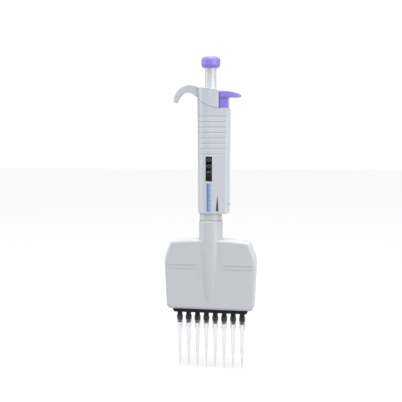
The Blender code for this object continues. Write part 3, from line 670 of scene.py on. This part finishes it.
def figure(number, slot_angle, height):
    """One printed figure, bent round a wheel's rim and turned to read upwards."""
    bpy.ops.object.text_add()
    text = bpy.context.object
    text.data.body = str(number)
    text.data.size = FIGURE_SIZE
    text.data.align_x = "CENTER"
    text.data.align_y = "CENTER"
    text.data.offset = 0.00006
    bpy.ops.object.convert(target="MESH")
    drawn = bpy.context.object
    bpy.ops.object.mode_set(mode="EDIT")
    bpy.ops.mesh.select_all(action="SELECT")
    bpy.ops.mesh.remove_doubles(threshold=1e-7)
    bpy.ops.mesh.quads_convert_to_tris()
    bpy.ops.mesh.subdivide(number_cuts=3)
    bpy.ops.object.mode_set(mode="OBJECT")
    radius = WHEEL_R + FIGURE_FILM
    ys = [v.co.y for v in drawn.data.vertices]
    middle = (min(ys) + max(ys)) / 2
    for vertex in drawn.data.vertices:
        along, up = vertex.co.x, vertex.co.y - middle
        angle = slot_angle - up / radius
        vertex.co = (radius * math.cos(angle), radius * math.sin(angle), height + along)
    use_modifier(drawn, "SOLIDIFY", thickness=FIGURE_FILM * 1.6, offset=0.0)
    return drawn


wheel_black = plastic(
    "wheel_black", (0.005, 0.005, 0.005), (0.008, 0.008, 0.008), (0.45, 0.60), 0.000004, 0.15)
figure_grey = plastic("figure_grey", (0.26, 0.26, 0.27), (0.30, 0.30, 0.30), (0.45, 0.60), 0.000004, 0.2)
for node, front in SHOWN.items():
    low, high = (corner.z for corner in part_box(node))
    lip = 0.00025
    wheel = turn(f"{node}_rim", [
        (WHEEL_BORE, low), (WHEEL_R - lip, low), (WHEEL_R, low + lip), (WHEEL_R, high - lip),
        (WHEEL_R - lip, high), (WHEEL_BORE, high),
    ], 80)
    figures = [
        figure(number, math.radians(-90 + 36 * (front - number)), (low + high) / 2) for number in range(10)
    ]
    fit(wheel, WHEEL_BODY[node], wheel_black, [node])
    fit(join(figures, f"{node}_figures"), WHEEL_BODY[node], figure_grey)


# Works inside the handle
# The turned brass nut and pinions, the ground steel spindle, rods and axle, and the black counter
# frame that holds the wheels. They keep their machined shapes and get their metals and finishes.

def metal(name, colour, dull, roughness, line_scale):
    """Turned or drawn metal: fine lathe lines round the axis and slow dull patches."""
    material = bpy.data.materials.new(name)
    material.use_nodes = True
    tree = material.node_tree
    shader = tree.nodes["Principled BSDF"]
    shader.inputs["Metallic"].default_value = 1.0
    place = tree.nodes.new("ShaderNodeTexCoord").outputs["Object"]
    stretch = tree.nodes.new("ShaderNodeMapping")
    stretch.inputs["Scale"].default_value = (0.08, 0.08, 1.0)
    tree.links.new(place, stretch.inputs["Vector"])
    lines = noise(tree, stretch.outputs["Vector"], line_scale, 3.0, 0.6)
    patches = noise(tree, place, 160.0, 4.0, 0.6)
    tint = tree.nodes.new("ShaderNodeMix")
    tint.data_type = "RGBA"
    tint.inputs["A"].default_value = (*colour, 1.0)
    tint.inputs["B"].default_value = (*dull, 1.0)
    tree.links.new(spread(tree, patches, 0.35, 0.75, 0.0, 1.0), tint.inputs["Factor"])
    tree.links.new(tint.outputs["Result"], shader.inputs["Base Color"])
    tree.links.new(spread(tree, patches, 0.3, 0.7, *roughness), shader.inputs["Roughness"])
    bump = tree.nodes.new("ShaderNodeBump")
    bump.inputs["Strength"].default_value = 0.3
    bump.inputs["Distance"].default_value = 0.000006
    tree.links.new(lines, bump.inputs["Height"])
    tree.links.new(bump.outputs["Normal"], shader.inputs["Normal"])
    return material


def finish_node(node, material):
    """Puts a finish on a frame piece that keeps its own shape."""
    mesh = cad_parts[node].data
    mesh.materials.clear()
    mesh.materials.append(material)


ground_steel = metal("ground_steel", (0.60, 0.61, 0.62), (0.50, 0.51, 0.52), (0.20, 0.34), 9000.0)
turned_brass = metal("turned_brass", (0.72, 0.55, 0.25), (0.60, 0.44, 0.20), (0.24, 0.38), 7000.0)
acetal_white = plastic("acetal_white", (0.60, 0.61, 0.62), (0.56, 0.57, 0.58), (0.36, 0.50))
for node in ("volume_nut", "carry_pinion_1", "carry_pinion_2"):
    finish_node(node, turned_brass)
for node in ("volume_spindle", "push_rod", "ejector_rod", "pinion_axle"):
    finish_node(node, ground_steel)
for node in ("blowout_cup", "ejector_arm"):
    finish_node(node, acetal_white)
finish_node("counter_frame", wheel_black)


# Springs
# Music-wire compression springs: one under the blow-out cup, one under the ejector and one round the
# drive rod.

def spring(name, mean_r, wire_r, low, high, turns, at=(0.0, 0.0)):
    """A ring of wire screwed up into a coil, with both cut ends closed."""
    bpy.ops.mesh.primitive_circle_add(
        vertices=10, radius=wire_r, enter_editmode=True, rotation=(math.radians(90), 0, 0))
    part = bpy.context.object
    part.name = part.data.name = name
    bpy.ops.transform.translate(value=(mean_r, 0.0, low + wire_r))
    bpy.ops.object.mode_set(mode="OBJECT")
    bpy.ops.object.transform_apply()
    steps = 24 * turns
    use_modifier(
        part, "SCREW", angle=2 * math.pi * turns, screw_offset=high - low - 2 * wire_r,
        steps=steps, render_steps=steps, use_smooth_shade=True)
    open_up(part)
    bpy.ops.mesh.select_mode(type="EDGE")
    bpy.ops.mesh.select_all(action="DESELECT")
    bpy.ops.mesh.select_non_manifold()
    bpy.ops.mesh.fill()
    bpy.ops.mesh.select_all(action="SELECT")
    bpy.ops.transform.translate(value=(at[0], at[1], 0.0))
    close_up()
    return part


SPRINGS = [
    # name, node, body, joint, mean radius, wire radius, turns, axis in plan, travel
    ("blow_out_coil", "blowout_spring", "handle", "blow_out_travel", 0.0066, 0.0006, 5, (0.0, 0.0), 0.0025),
    ("ejector_coil", "ejector_spring", "handle", "ejector_press", 0.0026, 0.0004, 9, (EJECT_X, 0.0), 0.0080),
    ("piston_coil", "piston_spring", "manifold", "piston_travel", 0.0047, 0.0006, 9, (0.0, 0.0), 0.0175),
]
spring_steel = metal("spring_steel", (0.50, 0.51, 0.52), (0.40, 0.41, 0.42), (0.26, 0.40), 5000.0)
for name, node, body, joint, mean_r, wire_r, turns, at, travel in SPRINGS:
    low, high = (corner.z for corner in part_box(node))
    coil = spring(name, mean_r, wire_r, low, high, turns, at)
    fit(coil, body, spring_steel, [node], 60)
    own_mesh(coil)


# Push button and plunger stem
# A soft-cornered violet polypropylene button pressed onto a glossy white stem; turning it sets the
# volume and pressing it drives the pistons.

button_low, button_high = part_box("push_button")
BUTTON_R = button_high.x
low, high = button_low.z, button_high.z
profile = [
    (0.0, low + 0.0030), (STEM_R + GAP, low + 0.0030), (STEM_R + GAP, low + 0.0003), (STEM_R + 0.0006, low),
]
profile += arc((BUTTON_R - 0.0031, low + 0.0033), 0.0031, -80, 0, 10)
profile += arc((BUTTON_R - 0.0036, high - 0.0040), 0.0036, 0, 78, 12)
profile += [(BUTTON_R * 0.45, high - 0.0001), (BUTTON_R * 0.30, high), (0.0, high - 0.0001)]
button = turn("thumb_button", profile, 96)
violet = plastic("violet_plastic", (0.300, 0.228, 0.760), (0.276, 0.208, 0.728), (0.26, 0.34))
fit(button, "plunger", violet, ["push_button"])

stem_low, stem_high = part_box("plunger_stem")
COLLAR_R = stem_high.x
bore = 0.0042
stem = turn("stem", [
    (0.0, 0.2903), (0.0023, 0.2903), (0.0023, 0.2840), (bore, 0.2830), (bore, stem_low.z),
    (COLLAR_R - 0.0002, stem_low.z), (COLLAR_R, stem_low.z + 0.0002), (COLLAR_R, stem_low.z + 0.0016),
    (COLLAR_R - 0.0002, stem_low.z + 0.0018), (STEM_R, stem_low.z + 0.0018), (STEM_R, stem_high.z),
    (0.0, stem_high.z),
], 96)
stem_white = plastic(
    "stem_white_plastic", (0.660, 0.668, 0.710), (0.645, 0.653, 0.695), (0.06, 0.12), 0.000002, 0.8)
fit(stem, "plunger", stem_white, ["plunger_stem"])


# Ejector button
# The violet thumb rest beside the cap: a tapered wing on a square stem that slides in the handle. It
# is one moulding with soft edges.

head_low, head_high = 0.2677, 0.2738
side_view = [
    (0.0094, head_low), (0.0280, head_low), (0.0297, head_low + 0.0006), (0.0300, head_low + 0.0016),
    (0.0288, head_low + 0.0029), (0.0240, head_low + 0.0045), (0.0190, head_low + 0.0056),
    (0.0120, head_high), (0.0103, head_high - 0.0001), (0.0094, head_high - 0.0012),
]
wing = slab("thumb_rest", side_view, -0.0056, 0.0056)
plan = [
    (0.0050, -0.0060), (0.0190, -0.0060), (0.0235, -0.0055), (0.0270, -0.0045), (0.0292, -0.0032),
    (0.0305, -0.0012),
]
trim = lay_out("wing_plan", [(x, y, 0.2600) for x, y in plan + [(x, -y) for x, y in reversed(plan)]])
pull(0.0, 0.0, 0.0200)
close_up()
cut(wing, trim, "INTERSECT")
use_modifier(wing, "BEVEL", width=0.0009, segments=4, limit_method="ANGLE", angle_limit=math.radians(50))
post = block(
    "post", (EJECT_STEM_X[0], -EJECT_STEM_Y, EJECT_STEM_LOW),
    (EJECT_STEM_X[1], EJECT_STEM_Y, head_low + 0.0015))
use_modifier(post, "BEVEL", width=0.0006, segments=4, limit_method="ANGLE", angle_limit=math.radians(50))
cut(wing, post, "UNION")
cut(wing, rod("rod_socket", 0.0018, EJECT_STEM_LOW - 0.001, 0.2525, 24, (EJECT_X, 0.0)))
fit(wing, "ejector", violet, ["ejector_button"], 35)


# Manifold housing
# The wide lower housing, moulded in two grey halves that meet on the row's centre plane and clamp the
# works between them. Its neck turns in the handle; a tapering ridge carries the neck down the face.

SHELL_LOW = 0.0596
SHELL_TOP = 0.1296
SHOULDER = 0.1272
SHELL_DEPTH = 0.0090
SHELL_WALL = 0.0018
SHELL_MIDDLE = (SHELL_LOW + SHELL_TOP) / 2
SHELL_HALF_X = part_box("manifold_front")[1].x
NECK_TOP = 0.1480
SPIGOT_R = 0.0096
SPIGOT_BORE = 0.0087
EDGE_INSET = 0.0030
EDGE_STEPS = 8
FLANGE_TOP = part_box("manifold_front")[1].z


def mirrored(half):
    return half + [(-x, z) for x, z in reversed(half) if x > 1e-6]


half_view = [(0.0, SHELL_TOP), (0.0100, SHELL_TOP - 0.0001), (0.0200, SHELL_TOP - 0.0004)]
half_view += [(0.0290, SHELL_TOP - 0.0010), (0.0360, SHOULDER + 0.0006)]
half_view += arc((0.0372, SHOULDER - 0.0022), 0.0026, 75, 20, 8)
half_view += smooth_path([(0.0440, 0.1145), (0.0451, 0.1095), (SHELL_HALF_X, 0.1040), (0.0446, 0.0880)], 4)
half_view = [(min(x, SHELL_HALF_X), z) for x, z in half_view]
half_view += [(0.0441, 0.0740)]
half_view += arc((0.0386, SHELL_LOW + 0.0050), 0.0050, 5, -80, 10)
half_view += [(0.0370, SHELL_LOW)]
front_view = mirrored(half_view)
shell = lay_out("housing", [(x, -SHELL_DEPTH, z) for x, z in front_view])
half_height = (SHELL_TOP - SHELL_LOW) / 2
layers = [math.radians(90.0 * i / EDGE_STEPS) for i in range(EDGE_STEPS + 1)]
layers = [(EDGE_INSET * (1 - math.cos(a)), EDGE_INSET * (1 - math.sin(a))) for a in layers]
centre = (0.0, 0.0, SHELL_MIDDLE)
draw_in(1 - EDGE_INSET / SHELL_HALF_X, 1.0, 1 - EDGE_INSET / half_height, centre)
for (back, inset), (next_back, next_inset) in zip(layers, layers[1:]):
    pull(0.0, next_back - back, 0.0)
    draw_in(
        (SHELL_HALF_X - next_inset) / (SHELL_HALF_X - inset), 1.0,
        (half_height - next_inset) / (half_height - inset), centre)
pull(0.0, 2 * (SHELL_DEPTH - EDGE_INSET), 0.0)
mirror_layers = list(reversed(layers))
for (back, inset), (next_back, next_inset) in zip(mirror_layers, mirror_layers[1:]):
    pull(0.0, back - next_back, 0.0)
    draw_in(
        (SHELL_HALF_X - next_inset) / (SHELL_HALF_X - inset), 1.0,
        (half_height - next_inset) / (half_height - inset), centre)
close_up()

RIDGE_PROFILE = [(0.0640, 0.0089), (0.0750, 0.0102), (0.0900, 0.0108), (0.1050, 0.0113), (0.1180, NECK_R)]
RIDGE_SIDES = 360
ROOT_R = 0.0030               # the hollow blend between the ridge and the face
SHOULDER_ROOT_R = 0.0020      # and between the neck and the shoulders
UNDERCUT = 0.00005
ridge_curve = smooth_path(RIDGE_PROFILE, 5)


def ridge_radius(z):
    for (z0, r0), (z1, r1) in zip(ridge_curve, ridge_curve[1:]):
        if z <= z1:
            return r0 + (r1 - r0) * max(0.0, z - z0) / (z1 - z0)
    return NECK_R


def ridge_reach(turned, z):
    """Distance from the axis to the ridge's skin, at an angle from straight ahead."""
    radius = ridge_radius(z)
    if z > SHELL_TOP:
        up = min(1.0, (z - SHELL_TOP) / SHOULDER_ROOT_R)
        flare = SHOULDER_ROOT_R * (1.0 - math.sqrt(1.0 - (1.0 - up) ** 2))
        share = min(1.0, max(0.0, (turned - math.radians(36)) / math.radians(39)))
        return radius + flare * share * share * (3 - 2 * share)
    over = min(EDGE_INSET, max(0.0, z - (SHELL_TOP - EDGE_INSET)))
    face = SHELL_DEPTH - EDGE_INSET + math.sqrt(EDGE_INSET ** 2 - over ** 2) - UNDERCUT
    across = (radius + ROOT_R) ** 2 - (face + ROOT_R) ** 2
    if across <= 0:
        return radius
    across = math.sqrt(across)
    if math.sin(turned) <= across / (radius + ROOT_R):
        return radius
    leaves = math.atan2(across, face)
    if turned <= leaves:
        reach = math.sin(turned) * across + math.cos(turned) * (face + ROOT_R)
        return reach - math.sqrt(max(0.0, reach ** 2 - across ** 2 - (face + ROOT_R) ** 2 + ROOT_R ** 2))
    share = (turned - leaves) / (math.pi / 2 - leaves)
    return math.hypot(across, face) * (1 - share) + radius * share


heights = [0.0640 + 0.0025 * i for i in range(25)]
heights += [SHELL_TOP - EDGE_INSET * (1 - math.sin(math.radians(a))) for a in (15, 30, 45, 60, 75, 90)]
heights += [SHELL_TOP + SHOULDER_ROOT_R * share for share in (0.02, 0.1, 0.25, 0.5, 1.0)]
heights += [NECK_TOP - 0.0010]
bpy.ops.mesh.primitive_circle_add(
    vertices=RIDGE_SIDES, radius=NECK_R, fill_type="NGON", location=(0.0, 0.0, heights[0]))
ridge = bpy.context.object
ridge.name = ridge.data.name = "ridge"
bpy.ops.object.transform_apply()
bpy.ops.object.mode_set(mode="EDIT")
bpy.ops.mesh.select_all(action="SELECT")
for z, next_z in zip(heights, heights[1:]):
    pull(0.0, 0.0, next_z - z)
close_up()
for vertex in ridge.data.vertices:
    x, y, z = vertex.co
    length = ridge_reach(math.atan2(abs(x), abs(y)), z) / NECK_R
    vertex.co = (x * length, y * length, z)
cut(shell, ridge, "UNION")
cut(shell, turn("neck", [
    (0.0, 0.1400), (NECK_R - 0.0001, 0.1400), (NECK_R - 0.0001, NECK_TOP - 0.0014),
    (NECK_R - 0.0002, NECK_TOP - 0.0011), (NECK_R - 0.0008, NECK_TOP - 0.0001), (NECK_R - 0.0010, NECK_TOP),
    (SPIGOT_R, NECK_TOP), (SPIGOT_R, GRIP_LOW + 0.0018),
    (0.0106, GRIP_LOW + 0.0018), (0.0106, FLANGE_TOP), (0.0, FLANGE_TOP),
], 96), "UNION")

inner_depth = SHELL_DEPTH - SHELL_WALL
cavity = []
for x, z in front_view:
    corner = (x * 0.955, min(max(z, 0.0700), SHOULDER - 0.0024))
    if not cavity or math.dist(corner, cavity[-1]) > 1e-5:
        cavity.append(corner)
if math.dist(cavity[0], cavity[-1]) < 1e-5:
    cavity.pop()
cut(shell, slab("cavity", cavity, -inner_depth, inner_depth))
cut(shell, block("mouth", (-0.0380, -inner_depth, SHELL_LOW - 0.002), (0.0380, inner_depth, 0.0720)))
cut(shell, rod("neck_bore", SPIGOT_BORE, 0.1130, FLANGE_TOP + 0.001, 72))

# Two pairs of short sight grooves, front and back: a square upper lip and a long lower slope
SIGHT_LIPS = (0.1042, 0.1005)
SIGHT_X = (0.0137, 0.0422)
SIGHT_SECTION = [(-0.0003, 0.0), (0.0004, -0.0001), (0.0005, -0.0003), (0.0, -0.0013), (-0.0003, -0.0019)]
for lip in SIGHT_LIPS:
    for left in (-SIGHT_X[1], SIGHT_X[0]):
        for side in (-1, 1):
            section = [(left, side * (SHELL_DEPTH - depth), lip + z) for depth, z in SIGHT_SECTION]
            groove = lay_out("sight", section)
            pull(SIGHT_X[1] - SIGHT_X[0], 0.0, 0.0)
            close_up()
            cut(shell, groove)

for name, node, near, far in (
    ("housing_front", "manifold_front", -0.03, -GAP / 2), ("housing_back", "manifold_back", GAP / 2, 0.03)):
    half = shell.copy()
    half.data = shell.data.copy()
    half.name = half.data.name = name
    bpy.context.collection.objects.link(half)
    cut(half, block("keep", (-0.06, near, 0.0500), (0.06, far, FLANGE_TOP + 0.01)), "INTERSECT")
    fit(half, "manifold", housing_grey, [node], 32)
bpy.data.objects.remove(shell)


# Works inside the manifold
# The steel pistons hang from an acetal crosshead and run in the cylinder block; the guide tube holds
# the return spring, and the sliding yoke carries the tip ejector down from the neck.

nitrile = plastic("nitrile_seal", (0.018, 0.018, 0.018), (0.030, 0.030, 0.030), (0.55, 0.75), 0.00004, 0.3)
for node in ("guide_tube", "cylinder_block", "crosshead", "ejector_frame"):
    finish_node(node, acetal_white)
for node in ["drive_rod"] + [f"piston_{number}" for number in range(1, 9)]:
    finish_node(node, ground_steel)
finish_node("seal_strip", nitrile)


# Ejector bar
# The black acetal plate under the housing that the yoke pushes down on the tips' rims. It is bored for
# the nozzles, and its ends lean in towards the bottom.

CHANNELS = 8
PITCH = 0.009
places = [(i - (CHANNELS - 1) / 2) * PITCH for i in range(CHANNELS)]
bar_low, bar_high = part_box("ejector_bar")
bar_view = [(bar_high.x, bar_high.z), (bar_high.x, bar_high.z - 0.0009), (bar_high.x - 0.0014, bar_low.z)]
bar = slab("ejector_plate", mirrored(bar_view), bar_low.y, bar_high.y)
use_modifier(bar, "BEVEL", width=0.0004, segments=3, limit_method="ANGLE", angle_limit=math.radians(30))
for x in places:
    cut(bar, rod("nozzle_hole", 0.0030, bar_low.z - 0.001, bar_high.z + 0.001, 32, (x, 0.0)))
fit(bar, "tip_ejector", black_plastic, ["ejector_bar"], 35)


# Nozzles
# Black cones screwed into the cylinder block, one for each channel; the tips are pushed onto them.

NOZZLE_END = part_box("nozzle_1")[0].z
NOZZLE_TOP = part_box("nozzle_1")[1].z
TIP_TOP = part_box("tip_1")[1].z
BLOCK_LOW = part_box("cylinder_block")[0].z
nozzle_profile = [
    (0.0010, NOZZLE_END), (0.0018, NOZZLE_END), (0.0020, NOZZLE_END + 0.0003), (0.0025, TIP_TOP),
    (0.0026, BLOCK_LOW - 0.0004), (0.0030, BLOCK_LOW - 0.0004), (0.0030, NOZZLE_TOP), (0.0010, NOZZLE_TOP),
]
nozzle = turn("nozzle", nozzle_profile, 40)
for number, x in enumerate(places, 1):
    copy = nozzle.copy()
    copy.data = nozzle.data.copy()
    copy.name = copy.data.name = f"nozzle_cone_{number}"
    copy.data.transform(Matrix.Translation((x, 0.0, 0.0)))
    bpy.context.collection.objects.link(copy)
    fit(copy, "manifold", black_plastic, [f"nozzle_{number}"])
bpy.data.objects.remove(nozzle)


# Tips
# Eight thin-walled natural polypropylene tips. The collar is ribbed, the long taper is clear, and the
# fine end starts at a small step.

TIP_RIM = 0.0032
outside = [
    (0.00045, 0.0), (0.00120, 0.0120), (0.00150, 0.0148), (0.00170, 0.0151), (0.00210, 0.0280),
    (0.00255, 0.0400),
    (0.00272, 0.0403), (0.00276, 0.0452), (0.00282, 0.0505), (TIP_RIM, 0.0508), (TIP_RIM, TIP_TOP - 0.0002),
    (TIP_RIM - 0.0001, TIP_TOP),
]
inside = [
    (0.0027, TIP_TOP), (0.00242, 0.0450), (0.00205, 0.0400), (0.00160, 0.0280), (0.00120, 0.0160),
    (0.00022, 0.0),
]
RIBS = 12
RIB_HEIGHT = 0.00034
TIP_CLEAR = (0.90, 0.905, 0.92)
# Painted shade: the tips are clear all over, and this grey, painted on the collar by height, stands in for
# the dark cone seen through it.
PAINTED_CONE_SHADE = (0.26, 0.265, 0.275)
PAINTED_CONE_SHADE_Z = (0.0470, 0.0482)    # where the tip's clear tint turns to the painted shade of the cone seen through the collar
tip = turn("tip", outside + inside, 48)


def on_rib(face):
    """Picks one strip in four round the collar, between the rim and the bottom of the socket."""
    middle = face.calc_center_median()
    if not 0.0403 < middle.z < 0.0507 or math.hypot(middle.x, middle.y) < 0.0026:
        return False
    turn_share = math.atan2(middle.y, middle.x) / (2 * math.pi) * RIBS
    return abs((turn_share - 0.125) % 1.0) < 0.24 or abs((turn_share - 0.125) % 1.0) > 0.99


open_up(tip)
pick("faces", on_rib)
bpy.ops.mesh.extrude_region_shrink_fatten(TRANSFORM_OT_shrink_fatten={"value": RIB_HEIGHT})
close_up()
tip_plastic = clear("tip_polypropylene", TIP_CLEAR, (0.05, 0.10), 1.40, 0.000002, 0.96)
tip_tree = tip_plastic.node_tree
height = tip_tree.nodes.new("ShaderNodeSeparateXYZ")
tip_tree.links.new(tip_tree.nodes.new("ShaderNodeTexCoord").outputs["Object"], height.inputs["Vector"])
painted_cone_shade = tip_tree.nodes.new("ShaderNodeMix")    # painted shade: greys the collar's band to stand in for the dark cone seen through the clear ribs
painted_cone_shade.data_type = "RGBA"
painted_cone_shade.inputs["A"].default_value = (*TIP_CLEAR, 1.0)
painted_cone_shade.inputs["B"].default_value = (*PAINTED_CONE_SHADE, 1.0)
painted_cone_share = spread(tip_tree, height.outputs["Z"], *PAINTED_CONE_SHADE_Z, 0.0, 1.0)
tip_tree.links.new(painted_cone_share, painted_cone_shade.inputs["Factor"])
tip_tree.links.new(painted_cone_shade.outputs["Result"], tip_tree.nodes["Principled BSDF"].inputs["Base Color"])
for number, x in enumerate(places, 1):
    copy = tip.copy()
    copy.data = tip.data.copy()
    copy.name = copy.data.name = f"pipette_tip_{number}"
    copy.data.transform(Matrix.Translation((x, 0.0, 0.0)))
    bpy.context.collection.objects.link(copy)
    fit(copy, "tips", tip_plastic, [f"tip_{number}"])
bpy.data.objects.remove(tip)


# Floor, light and camera
# A plain white table, a bright tent that is darker round the lens, and three soft panels. The table
# glows to the lens and in reflections, and lends no light to the pipette beyond what falls on it.

TABLE_GLOW = 0.56

bpy.ops.mesh.primitive_plane_add(size=14.0, location=(0.0, 0.0, -0.0002))
table = bpy.context.object
table.name = "table"
white_table = bpy.data.materials.new("white_table")
white_table.use_nodes = True
table_shader = white_table.node_tree.nodes["Principled BSDF"]
table_shader.inputs["Roughness"].default_value = 0.9
table_shader.inputs["Base Color"].default_value = (0.30, 0.30, 0.30, 1.0)
table_shader.inputs["Emission Color"].default_value = (1.0, 1.0, 1.0, 1.0)
rays = white_table.node_tree.nodes.new("ShaderNodeLightPath")
glow = spread(white_table.node_tree, rays.outputs["Is Diffuse Ray"], 0.0, 1.0, TABLE_GLOW, 0.0)
white_table.node_tree.links.new(glow, table_shader.inputs["Emission Strength"])
table.data.materials.append(white_table)

AZIMUTH = math.radians(10.0)
DISTANCE = 0.668
EYE_Z = 0.217
TILT = math.radians(4.3)
TENT = 1.03                   # the backdrop, which has to come out white
TENT_FRONT = 0.72             # the side behind the lens
TENT_SIDE = 0.35
ROOF = 1.2                    # what the tent's roof adds
GAP_AZIMUTH = math.radians(-12.0)
GAP_COSINES = (0.88, 0.99)    # edge and middle of the dark gap in the tent

world = bpy.data.worlds.new("tent")
bpy.context.scene.world = world
world.use_nodes = True
sky = world.node_tree
direction = sky.nodes.new("ShaderNodeTexCoord").outputs["Generated"]


def facing(*way):
    """How closely a direction points one way, as a cosine."""
    towards = sky.nodes.new("ShaderNodeVectorMath")
    towards.operation = "DOT_PRODUCT"
    sky.links.new(direction, towards.inputs[0])
    towards.inputs[1].default_value = way
    return towards.outputs["Value"]


ahead = facing(math.sin(AZIMUTH), -math.cos(AZIMUTH), 0.0)
wall = maths(
    sky, "ADD", spread(sky, ahead, -0.90, -0.75, TENT - TENT_SIDE, 0.0),
    spread(sky, ahead, 0.1, 0.7, TENT_SIDE, TENT_FRONT))
gap = spread(sky, facing(math.sin(GAP_AZIMUTH), -math.cos(GAP_AZIMUTH), 0.0), *GAP_COSINES, 1.0, 0.08)
roof = spread(sky, facing(0.0, 0.0, 1.0), 0.35, 0.95, 0.0, ROOF)
tent = maths(sky, "ADD", maths(sky, "MULTIPLY", wall, gap), roof)
seen = sky.nodes.new("ShaderNodeMix")     # the lens sees plain white from every side
seen.inputs["B"].default_value = TENT
sky.links.new(tent, seen.inputs["A"])
sky.links.new(sky.nodes.new("ShaderNodeLightPath").outputs["Is Camera Ray"], seen.inputs["Factor"])
backdrop = sky.nodes["Background"]
backdrop.inputs["Color"].default_value = (1.0, 1.0, 1.0, 1.0)
sky.links.new(seen.outputs["Result"], backdrop.inputs["Strength"])


def panel_light(name, azimuth, distance, height, size, power):
    """A soft panel turned to the middle of the pipette."""
    place = Vector((distance * math.sin(azimuth), -distance * math.cos(azimuth), height))
    bpy.ops.object.light_add(type="AREA", location=place)
    light = bpy.context.object
    light.name = name
    light.data.shape = "RECTANGLE"
    light.data.size, light.data.size_y = size
    light.data.energy = power
    light.rotation_euler = (Vector((0.0, 0.0, 0.18)) - place).to_track_quat("-Z", "Y").to_euler()


panel_light("right_panel", math.radians(58.0), 0.90, 0.30, (0.45, 0.90), 4.2)
panel_light("left_panel", math.radians(-82.0), 0.90, 0.30, (0.40, 0.90), 3.6)
panel_light("top_panel", math.radians(10.0), 0.15, 1.20, (0.50, 0.50), 7.0)

FOCAL_WIDTHS = 680.0 / 402.0  # focal length over the picture's width
bpy.ops.object.camera_add(
    location=(DISTANCE * math.sin(AZIMUTH), -DISTANCE * math.cos(AZIMUTH), EYE_Z),
    rotation=(math.radians(90.0) - TILT, 0.0, AZIMUTH),
)
camera = bpy.context.object
camera.data.sensor_width = 36.0
camera.data.lens = 36.0 * FOCAL_WIDTHS
camera.data.shift_x = -0.0244
camera.data.clip_start = 0.01
camera.data.clip_end = 50.0
bpy.context.scene.camera = camera
bpy.context.scene.view_settings.view_transform = "Standard"
